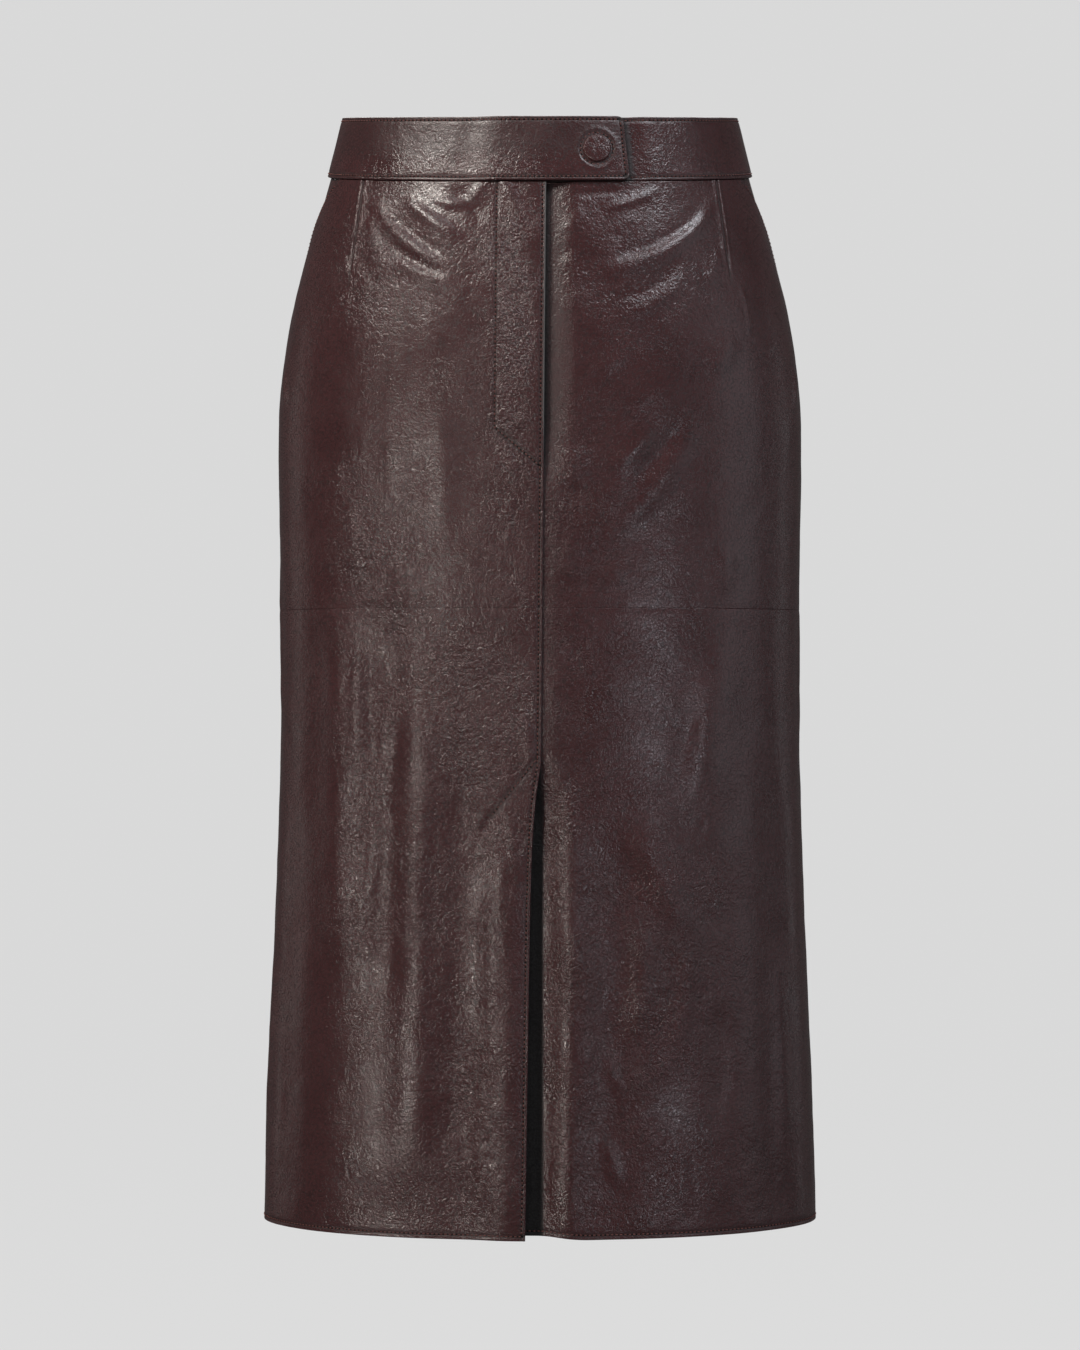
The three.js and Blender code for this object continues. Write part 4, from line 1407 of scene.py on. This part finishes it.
def stitch_shape(length, thread):
    """One stitch: a bent bead, its height a parabola along it and its radius the thread's, drawn in
    at both ends. Returns points as (along, side, up) and its faces."""
    rings, sides = 5, 5
    t = np.linspace(-1, 1, rings)[:, None]
    turn = np.linspace(0, 2 * np.pi, sides, endpoint=False)[None, :]
    radius = 0.5 * thread * np.sqrt(np.clip(1.04 - t**4, 0.0, 1.0))
    along = np.broadcast_to(t * length / 2, (rings, sides))
    side = radius * np.cos(turn)
    up = radius * np.sin(turn) + thread * (0.5 - 0.9 * t * t)
    points = np.stack([along, side, up], axis=-1).reshape(-1, 3)
    ends = np.array([np.arange(sides)[::-1], (rings - 1) * sides + np.arange(sides)])
    return points, np.roll(ring_quads(rings, sides), -1, axis=1), ends


def stitch_row(angle, drop, lift):
    """The points of a row of stitches along a path on the leather: the stitch's shape placed at equal
    steps of the path's length, along its tangent, the leather's normal and their cross product."""
    sizes = bpy.context.scene.skirt_sizes
    track = leather_point(angle, drop, lift(angle, drop))
    steps = np.linalg.norm(np.diff(track, axis=0), axis=1)
    travelled = np.concatenate([[0.0], np.cumsum(steps)])
    pitch = sizes.stitch_pitch / METRES
    count = max(int(travelled[-1] // pitch), 1)
    middles = (np.arange(count) + 0.5) * travelled[-1] / count
    centre_angle = np.interp(middles, travelled, angle)
    centre_drop = np.interp(middles, travelled, drop)
    centre = leather_point(centre_angle, centre_drop, lift(centre_angle, centre_drop))
    slopes = [np.gradient(track[:, k], travelled) for k in range(3)]
    tangent = np.stack([np.interp(middles, travelled, slope) for slope in slopes], axis=-1)
    normal = outward(centre_angle, centre_drop)
    tangent -= normal * np.sum(tangent * normal, axis=1, keepdims=True)
    tangent /= np.linalg.norm(tangent, axis=1, keepdims=True)
    side = np.cross(normal, tangent)
    shape, _, _ = stitch_shape(sizes.stitch_length / METRES, sizes.thread / METRES)
    turn = np.tile(np.linspace(0, 2 * np.pi, HOLE_SIDES, endpoint=False), 2)
    radius = HOLE_SIZE * sizes.thread / METRES
    level = np.repeat([HOLE_TOP, HOLE_BOTTOM], HOLE_SIDES)
    hole = np.stack([pitch / 2 + radius * np.cos(turn), radius * np.sin(turn), level], axis=-1)
    return [
        centre[:, None, :]
        + local[None, :, :1] * tangent[:, None, :]
        + local[None, :, 1:2] * side[:, None, :]
        + local[None, :, 2:] * normal[:, None, :]
        for local in (shape, hole)
    ]


def stitching(name, rows):
    """One piece that holds several rows of stitches. Each row is a path and the leather it is sewn in."""
    sizes = bpy.context.scene.skirt_sizes
    finish = bpy.context.scene.skirt_finish
    placed = [stitch_row(*row) for row in rows]
    stitches = np.concatenate([row[0] for row in placed])
    holes = np.concatenate([row[1] for row in placed])
    _, quads, ends = stitch_shape(sizes.stitch_length / METRES, sizes.thread / METRES)
    count, corners = stitches.shape[:2]
    ring = np.arange(HOLE_SIDES)
    after = np.roll(ring, -1)
    lids = np.stack([ring, ring[::-1] + HOLE_SIDES])
    walls = np.stack([ring, ring + HOLE_SIDES, after + HOLE_SIDES, after], axis=-1)

    def repeated(shape, start, step):
        starts = (start + np.arange(count) * step)[:, None, None]
        return (shape[None] + starts).reshape(-1, shape.shape[1]).tolist()

    beads = repeated(quads, 0, corners) + repeated(ends, 0, corners)
    first_hole = count * corners
    faces = beads + repeated(lids, first_hole, 2 * HOLE_SIDES) + repeated(walls, first_hole, 2 * HOLE_SIDES)
    kind = (np.arange(len(faces)) >= len(beads)).astype(np.int32)
    thread = bpy.data.materials.get("Thread") or plain_material(
        "Thread", finish.thread_colour, 0.6, 2500.0, 0.00008, contrast=0.4
    )
    # Each needle hole's pip is a painted shadow, near black.
    hole_shadow = bpy.data.materials.get("Needle hole shadow") or plain_material(
        "Needle hole shadow", np.array(finish.edge_colour) * 0.2, 0.9, 2500.0, 0.00002
    )
    points = np.concatenate([stitches.reshape(-1, 3), holes.reshape(-1, 3)])
    piece = new_piece(name, points, faces, np.ones(len(faces), dtype=bool), kind, [thread, hole_shadow])


def down_path(line, first, last):
    """A path down a line, from one drop to another."""
    drop = np.linspace(first, last, 400)
    return line(drop), drop


def round_path(edge, first, last, inset):
    """A path round the skirt between two angles, at an inset below an edge that depends on the angle."""
    angle = np.linspace(first, last, 900)
    return angle, edge(angle) + inset


def band_rows(first, last, lift):
    """Both rows of stitches of a band, from one angle to another."""
    upper = round_path(band_top, first, last, STITCH_INSET)
    lower = round_path(band_bottom, first, last, -STITCH_INSET)
    return [(*upper, lift), (*lower, lift)]


def number_setting(name, description, default, precision=5, unit="LENGTH"):
    """A length in metres, or a number of another unit, in the panel."""
    return FloatProperty(name=name, description=description, default=default, unit=unit, precision=precision)


def share_setting(name, description, default):
    """A share, in the panel."""
    return FloatProperty(name=name, description=description, default=default, subtype="FACTOR")


def colour_setting(name, description, default):
    """A colour, in the panel."""
    return FloatVectorProperty(name=name, description=description, default=default, subtype="COLOR")


class SkirtSizes(bpy.types.PropertyGroup):
    """Sizes of the leather and its sewing."""

    leather: number_setting("Leather", "Thickness of one layer of leather", 0.0012)
    band_wall: number_setting("Waistband", "Thickness of the doubled waistband", 0.0026)
    crease_depth: share_setting("Creases", "How deep the creases are, as a share of the table's", 1.7)
    crumple_depth: number_setting("Crumple", "Height of the leather's soft unevenness", 0.0004)
    thread: number_setting("Thread", "Thickness of the thread", 0.0008)
    stitch_pitch: number_setting("Stitch pitch", "Distance from one stitch to the next", 0.003)
    stitch_length: number_setting("Stitch length", "Length of a stitch that shows", 0.0022)


class SkirtFinish(bpy.types.PropertyGroup):
    """Colours and gloss of the leather and the thread."""

    leather_colour: colour_setting("Leather", "Colour of the dyed leather", (0.089, 0.030, 0.032))
    worn_colour: colour_setting("Worn leather", "Colour over a worn edge", (0.085, 0.026, 0.026))
    flesh_colour: colour_setting("Flesh side", "Colour of the leather's inner side", (0.060, 0.034, 0.032))
    edge_colour: colour_setting("Cut edge", "Colour of the painted cut edges", (0.020, 0.014, 0.014))
    # The fly edge's colour is a painted highlight, standing in for light caught by the rolled edge.
    lap_edge_highlight_colour: colour_setting("Fly edge", "Colour of the painted edge of the fly", (0.13, 0.125, 0.125))
    thread_colour: colour_setting("Thread", "Colour of the thread", (0.180, 0.066, 0.060))
    tape_colour: colour_setting("Zip tape", "Colour of the zip's tape", (0.014, 0.010, 0.010))
    roughness: share_setting("Roughness", "Roughness of the leather's surface", 0.09)
    valley_roughness: share_setting("Valley roughness", "How much rougher the grain's valleys are", 0.25)
    grain: number_setting("Grain", "Size of a pebble of the grain", 0.0016)
    grain_depth: number_setting("Grain depth", "Height of the pebbles", 0.00006, 6)
    wrinkle_depth: number_setting("Wrinkle depth", "Height of the fine wrinkles", 0.00055)


class SkirtStage(bpy.types.PropertyGroup):
    """The studio round the skirt."""

    backdrop_colour: colour_setting("Backdrop", "Colour of the floor and backdrop", (0.69, 0.69, 0.69))
    camera_distance: number_setting("Camera distance", "From the camera to the middle of the skirt", 2.6, 3)
    camera_drop: number_setting("Camera drop", "How far the camera is below the waist", 0.3668, 4)
    lens: number_setting("Lens", "Focal length", 99.84, 2, unit="CAMERA")
    key_power: number_setting("Key", "Power of the light high on the left", 33.0, 2, unit="POWER")
    fill_power: number_setting("Fill", "Power of the light high on the right", 19.0, 2, unit="POWER")
    floor_drop: number_setting("Floor", "How far the floor is below the waist", 1.15, 3)


class SKIRT_OT_front(bpy.types.Operator):
    """Makes the four front panels."""

    bl_idname = "skirt.front"
    bl_label = "Front panels"

    def execute(self, context):
        """Lays out the upper and the lower panel of each front, the right one with a painted highlight along
        its fly edge.
        """
        for side, word in ((-1, "right"), (1, "left")):
            hem = hem_edge(side)
            make_panel(
                f"front_{word}_upper", front_upper_stops(side), (BAND_HEIGHT, PIECING_SEAM_DROP),
                (panel_top, upper_bottom), UPPER_SPACING,
                partial(upper_lift, side), partial(upper_wear, side), partial(upper_shade, side),
                highlight_columns=HIGHLIGHT_COLUMNS if side < 0 else 0,
            )
            make_panel(
                f"front_{word}_lower", front_lower_stops(side), (PIECING_SEAM_DROP, HEM_DROP),
                (lower_top, hem), LOWER_SPACING,
                partial(lower_lift, side), partial(hem_wear, hem), partial(lower_shade, side),
            )
        return {"FINISHED"}


class SKIRT_OT_back(bpy.types.Operator):
    """Makes the upper and lower back."""

    bl_idname = "skirt.back"
    bl_label = "Back panels"

    def execute(self, context):
        """Lays out both back panels between the side seams."""
        start = edge_stops(back_edge(1), 1)
        end = edge_stops(back_edge(-1), -1, 1)
        at_darts = [stop for dart in back_darts() for stop in stops_around(dart, DART_COLUMNS)]
        make_panel(
            "back_upper", [*start, *at_darts, *end], (BAND_HEIGHT, PIECING_SEAM_DROP),
            (panel_top, upper_bottom), BACK_SPACING, back_lift, back_wear,
        )
        make_panel(
            "back_lower", [*start, *end], (PIECING_SEAM_DROP, HEM_DROP), (lower_top, level_hem), BACK_SPACING,
            back_lift, partial(hem_wear, level_hem), partial(hem_shade, level_hem),
        )
        return {"FINISHED"}


class SKIRT_OT_waistband(bpy.types.Operator):
    """Makes the waistband: the right part with its tab, the left part under it, and the back."""

    bl_idname = "skirt.waistband"
    bl_label = "Waistband"

    def execute(self, context):
        """Lays out the three bands between their rounded long edges."""
        at_snap = [(band_line(SNAP_X - 15), 1), (band_line(SNAP_X + 14), 0.6)]
        right = [*edge_stops(side_edge(-1), 1), *at_snap, *edge_stops(band_line(TAB_END_X), -1, 1)]
        left = [*edge_stops(band_line(UNDER_BAND_END_X), 1), *edge_stops(side_edge(1), -1, 1)]
        back = [*edge_stops(back_edge(1), 1), *edge_stops(back_edge(-1), -1, 1.5)]
        with_tab = (right_band_top, right_band_bottom)
        plain = (band_top, band_bottom)
        for word, stops, edges, lift, wear, painted_shade in (
            ("right", right, with_tab, right_band_lift, right_band_wear, right_band_shade),
            ("left", left, plain, left_band_lift, nothing, left_band_shade),
            ("back", back, plain, back_band_lift, nothing, band_shade),
        ):
            make_panel(f"waistband_{word}", stops, (0.0, BAND_HEIGHT), edges, BAND_SPACING, lift, wear, painted_shade)
        return {"FINISHED"}


class SKIRT_OT_pockets(bpy.types.Operator):
    """Makes the strips of leather that show inside the pockets' openings."""

    bl_idname = "skirt.pockets"
    bl_label = "Pocket facings"

    def execute(self, context):
        """Lays out each facing from behind the pocket's edge to the side seam."""
        for side, word in ((-1, "right"), (1, "left")):
            hidden = facing_hidden_edge(side)
            seam = side_edge(side)
            if side < 0:
                stops = [*edge_stops(seam, 1), (hidden, 1)]
            else:
                stops = [(hidden, None), *edge_stops(seam, -1, 1)]
            make_panel(
                f"pocket_facing_{word}", stops, (BAND_HEIGHT, FACING_END_DROP), (panel_top, facing_bottom),
                BAND_SPACING, partial(facing_lift, side),
                fine_bottom=False,
            )
        return {"FINISHED"}


class SKIRT_OT_snap(bpy.types.Operator):
    """Makes the leather cover of the snap on the tab."""

    bl_idname = "skirt.snap"
    bl_label = "Snap cover"

    def execute(self, context):
        """Turns a low dome's profile round the snap's axis and closes it with a flat back."""
        rings, sides = 22, 72
        share = np.linspace(0, 1, rings)[:, None]
        turn = np.linspace(0, 2 * np.pi, sides, endpoint=False)[None, :]
        radius = SNAP_RADIUS * share
        across = radius * np.cos(turn)
        down = radius * np.sin(turn)
        dome = SNAP_HEIGHT * (1 - SNAP_FALL * share**2) + round_off(SNAP_RADIUS - radius, SNAP_EDGE_RADIUS)
        dome = dome + SNAP_UNEVEN * noise(across * 3 + 200, down * 3 + 200, 11.0, 31)
        base = BAND_LIFT + TAB_LIFT + SNAP_STAND
        drop = SNAP_DROP + down
        angle = angle_at(SNAP_X + across, drop)
        top = leather_point(angle, drop, base + dome).reshape(-1, 3)
        back = leather_point(angle, drop, np.full(angle.shape, base - SNAP_BACK)).reshape(-1, 3)
        count = rings * sides
        front = ring_quads(rings, sides)
        edge = count - sides + np.arange(sides)
        after = np.roll(edge, -1)
        rim = np.stack([edge, after, after + count, edge + count], axis=-1)
        faces = np.concatenate([front, front[:, ::-1] + count, rim])
        flat = np.stack([angle * FLAT_PER_DEGREE, -drop], axis=-1).reshape(-1, 2)
        wear = bell(SNAP_RADIUS - radius, SNAP_WEAR_WIDTH) + 0 * turn
        values = {"crinkle": np.full(2 * count, SNAP_CRINKLE), "wear": np.tile(wear.ravel() * SNAP_WEAR, 2)}
        piece = new_piece(
            "snap_cover_leather", np.concatenate([top, back]), faces.tolist(),
            np.ones(len(faces), dtype=bool), np.zeros(len(faces), np.int32), wall_materials()[:1],
            values, np.tile(flat, (2, 1)),
        )
        merge = piece.modifiers.new("Close the middle", "WELD")
        merge.merge_threshold = 0.00001
        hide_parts("snap_cover")
        return {"FINISHED"}


class SKIRT_OT_zip(bpy.types.Operator):
    """Gives the closed zip behind the fly its woven tape."""

    bl_idname = "skirt.zip"
    bl_label = "Zip tape"

    def execute(self, context):
        """A weave of two wave patterns for the hidden strip, which keeps its own shape."""
        material, tree, shader = new_material("Zip tape")
        place = object_place(tree)
        waves = []
        for direction in ("X", "Z"):
            wave = add_node(tree, "TexWave", bands_direction=direction)
            connect(tree, wave.inputs["Scale"], 260.0)
            connect(tree, wave.inputs["Vector"], place)
            waves.append(wave.outputs["Fac"])
        weave = math_node(tree, "MULTIPLY", *waves)
        colour = np.array(context.scene.skirt_finish.tape_colour)
        connect(tree, shader.inputs["Base Color"], mix_colour(tree, weave, colour * 0.6, colour * 1.6))
        shader.inputs["Roughness"].default_value = 0.8
        bump(tree, shader, weave, 0.0002)
        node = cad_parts["fly_zip"]
        node.data.materials.clear()
        node.data.materials.append(material)
        return {"FINISHED"}


class SKIRT_OT_stitching(bpy.types.Operator):
    """Sews every row of stitches that shows."""

    bl_idname = "skirt.stitching"
    bl_label = "Stitching"

    def execute(self, context):
        """Follows each edge, the fly, the vent and the hem at its inset."""
        right_upper = partial(upper_lift, -1)
        left_upper = partial(upper_lift, 1)
        right_lower = partial(lower_lift, -1)
        left_lower = partial(lower_lift, 1)
        edge = line_at_x(lambda drop: lap_edge_x(drop) - STITCH_INSET)
        fly = line_at_x(fly_stitch_x)
        slant_drop = np.linspace(SLANT_START_DROP, SLANT_END_DROP, 200)
        slant_x = np.linspace(slant_start_x(), SLANT_END_X, 200)
        front_end = SIDE_SEAM_ANGLE - STITCH_END_ANGLE
        back_ends = (SIDE_SEAM_ANGLE + STITCH_END_ANGLE, 360 - SIDE_SEAM_ANGLE - STITCH_END_ANGLE)
        top = panel_top(0.0) + 1
        hem_start = angle_at(lap_edge_x(HEM_DROP) - 2, HEM_DROP)
        stitching("stitches_front_right", [
            (*down_path(edge, top, PIECING_SEAM_DROP - 1), right_upper),
            (*down_path(edge, PIECING_SEAM_DROP + 1, HEM_DROP - 4), right_lower),
            (*down_path(fly, top, FLY_END_DROP), right_upper),
            (angle_at(slant_x, slant_drop), slant_drop, right_lower),
            (*down_path(beside(pocket_line(-1), STITCH_INSET), 51, POCKET_END_DROP - 2), right_upper),
            (*round_path(level_hem, -front_end, hem_start, -HEM_STITCH_INSET), right_lower),
        ])
        hidden = angle_at(under_edge_x(HEM_DROP) + 2, HEM_DROP)
        stitching("stitches_front_left", [
            (*down_path(beside(pocket_line(1), -STITCH_INSET), 51, POCKET_END_DROP - 2), left_upper),
            (*round_path(left_hem, hidden, front_end, -HEM_STITCH_INSET), left_lower),
        ])
        stitching("stitches_back", [(*round_path(level_hem, *back_ends, -HEM_STITCH_INSET), back_lift)])

        tab_angle = angle_at(TAB_END_X - STITCH_INSET, ORIGIN_DROP)
        corner_angle = angle_at(TAB_END_X - TAB_CORNER, ORIGIN_DROP)
        down = np.linspace(band_top(tab_angle) + TAB_CORNER, band_bottom(tab_angle) - TAB_CORNER, 200)
        turn = np.linspace(0, 2 * np.pi, 300)
        ring_x = SNAP_X + SNAP_STITCH_RADIUS * np.cos(turn)
        ring_drop = SNAP_DROP + SNAP_STITCH_RADIUS * np.sin(turn)
        stitching("stitches_waistband", [
            *band_rows(-front_end, corner_angle, right_band_lift),
            (np.full(200, tab_angle), down, right_band_lift),
            (angle_at(ring_x, ring_drop), ring_drop, right_band_lift),
            *band_rows(tab_angle + 1.5, front_end, left_band_lift),
            *band_rows(*back_ends, back_band_lift),
        ])
        return {"FINISHED"}


class SKIRT_OT_stage(bpy.types.Operator):
    """Sets up the floor, the backdrop, the lights and the camera."""

    bl_idname = "skirt.stage"
    bl_label = "Studio"

    def execute(self, context):
        """A round pale room, twelve soft boxes and a long lens level with the skirt's middle."""
        stage = context.scene.skirt_stage
        self.make_room(context, stage)
        self.make_air(context)
        self.make_lights(context, stage)
        camera = bpy.data.objects.new("Camera", bpy.data.cameras.new("Camera"))
        camera.data.lens = stage.lens
        camera.data.sensor_width = 36.0
        camera.location = (0.0, -stage.camera_distance, -stage.camera_drop)
        camera.rotation_euler = (math.radians(90), 0.0, 0.0)
        context.scene.collection.objects.link(camera)
        context.scene.camera = camera
        context.scene.view_settings.view_transform = "Standard"
        return {"FINISHED"}

    def make_room(self, context, stage):
        """A turned profile: a flat floor, a quarter round and a wall that closes in a dome."""
        floor = -stage.floor_drop
        turn = np.linspace(0, np.pi / 2, 24)
        bend_radii = ROOM_REACH - ROOM_BEND + ROOM_BEND * np.sin(turn)
        bend_levels = floor + ROOM_BEND - ROOM_BEND * np.cos(turn)
        radii = np.concatenate([[0.01, 3.0], bend_radii, [ROOM_REACH, ROOM_REACH * 0.7, 0.01]])
        dome_levels = [ROOM_HEIGHT * 0.7, ROOM_HEIGHT, ROOM_HEIGHT]
        levels = np.concatenate([[floor, floor], bend_levels, dome_levels])
        around = np.linspace(0, 2 * np.pi, 96, endpoint=False)
        x = radii[:, None] * np.cos(around)
        y = radii[:, None] * np.sin(around)
        points = np.stack([x, y, levels[:, None] + 0 * around], axis=-1).reshape(-1, 3)
        faces = ring_quads(len(radii), len(around))
        mesh = bpy.data.meshes.new("studio_room")
        mesh.from_pydata(points, [], faces.tolist())
        mesh.polygons.foreach_set("use_smooth", np.ones(len(faces), dtype=bool))
        room = bpy.data.objects.new("studio_room", mesh)
        context.scene.collection.objects.link(room)
        material, tree, shader = new_material("Studio paper")
        for name, value in (
            ("Base Color", (*[c * 0.06 for c in stage.backdrop_colour], 1.0)),
            ("Roughness", 1.0),
            ("Specular IOR Level", 0.0),
            ("Emission Color", (*stage.backdrop_colour, 1.0)),
            ("Emission Strength", 1.0),
        ):
            connect(tree, shader.inputs[name], value)
        mesh.materials.append(material)
        room.visible_glossy = False
        room.visible_diffuse = False

    def make_air(self, context):
        """A faint even light from all round."""
        world = bpy.data.worlds.new("Studio air")
        world.use_nodes = True
        background = world.node_tree.nodes["Background"]
        background.inputs["Color"].default_value = (1.0, 0.98, 0.97, 1.0)
        background.inputs["Strength"].default_value = 0.085
        context.scene.world = world

    def make_lights(self, context, stage):
        """Soft boxes, each a rectangle aimed at the skirt's middle from its own azimuth and elevation."""
        key = stage.key_power
        fill = stage.fill_power
        boxes = (
            # name, azimuth, elevation, width, tall, power, colour
            ("Key", -46, 42, 0.7, 0.6, key, (1.0, 0.95, 0.88)),
            ("Low left", -40, -7, 0.18, 0.7, key * 0.36, (1.0, 0.95, 0.88)),
            ("Tall left", -52, 14, 0.35, 1.4, key * 0.05, (1.0, 0.95, 0.88)),
            ("Near left", -10, 10, 0.15, 0.3, key * 0.05, (1.0, 0.97, 0.93)),
            ("Low right", 34, -6, 0.3, 0.5, fill * 0.17, (0.86, 0.92, 1.0)),
            ("Tall right", 72, 8, 1.4, 2.0, fill * 0.22, (0.88, 0.93, 1.0)),
            ("High right", 48, 48, 0.8, 0.7, fill, (0.90, 0.94, 1.0)),
            ("Top", 0, 68, 1.4, 0.8, fill * 0.42, (1.0, 1.0, 1.0)),
            ("Side left", -112, 2, 0.4, 1.6, key * 0.04, (1.0, 0.97, 0.93)),
            ("Side right", 112, 2, 0.4, 1.6, fill * 0.06, (0.93, 0.96, 1.0)),
            ("Back left", -160, 58, 1.0, 1.0, key, (1.0, 0.98, 0.95)),
            ("Back right", 150, 55, 1.0, 1.0, fill, (0.95, 0.97, 1.0)),
        )
        aim = Vector((0.0, 0.0, -stage.camera_drop))
        for name, azimuth, elevation, width, tall, power, colour in boxes:
            light = bpy.data.lights.new(name, "AREA")
            light.shape = "RECTANGLE"
            light.size = width
            light.size_y = tall
            light.energy = power
            light.color = colour
            lamp = bpy.data.objects.new(name, light)
            turn = math.radians(azimuth)
            rise = math.radians(elevation)
            reach = LIGHT_DISTANCE * math.cos(rise)
            height = LIGHT_DISTANCE * math.sin(rise)
            lamp.location = aim + Vector((reach * math.sin(turn), -reach * math.cos(turn), height))
            lamp.rotation_euler = (aim - lamp.location).to_track_quat("-Z", "Y").to_euler()
            context.scene.collection.objects.link(lamp)


class SKIRT_PT_panel(bpy.types.Panel):
    """Lists the skirt's sizes, finishes and the steps that make it."""

    bl_label = "Leather skirt"
    bl_idname = "SKIRT_PT_panel"
    bl_space_type = "VIEW_3D"
    bl_region_type = "UI"
    bl_category = "Skirt"

    def draw(self, context):
        """Draws every property and a button for each step."""
        layout = self.layout
        for group in (context.scene.skirt_sizes, context.scene.skirt_finish, context.scene.skirt_stage):
            column = layout.column(align=True)
            for name in group.__annotations__:
                column.prop(group, name)
        for step in STEPS:
            layout.operator(step.bl_idname)


STEPS = (
    SKIRT_OT_stage,
    SKIRT_OT_front,
    SKIRT_OT_back,
    SKIRT_OT_waistband,
    SKIRT_OT_pockets,
    SKIRT_OT_snap,
    SKIRT_OT_zip,
    SKIRT_OT_stitching,
)
CLASSES = (SkirtSizes, SkirtFinish, SkirtStage, *STEPS, SKIRT_PT_panel)


def register():
    """Registers the classes and hangs the three property groups on the scene."""
    for item in CLASSES:
        bpy.utils.register_class(item)
    bpy.types.Scene.skirt_sizes = PointerProperty(type=SkirtSizes)
    bpy.types.Scene.skirt_finish = PointerProperty(type=SkirtFinish)
    bpy.types.Scene.skirt_stage = PointerProperty(type=SkirtStage)


def unregister():
    """Takes the property groups off the scene and unregisters the classes."""
    del bpy.types.Scene.skirt_sizes
    del bpy.types.Scene.skirt_finish
    del bpy.types.Scene.skirt_stage
    for item in reversed(CLASSES):
        bpy.utils.unregister_class(item)


def main():
    """Makes the whole skirt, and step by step."""
    register()
    bpy.ops.skirt.stage()
    bpy.ops.skirt.front()
    bpy.ops.skirt.back()
    bpy.ops.skirt.waistband()
    bpy.ops.skirt.pockets()
    bpy.ops.skirt.snap()
    bpy.ops.skirt.zip()
    bpy.ops.skirt.stitching()


if __name__ == "__main__":
    main()
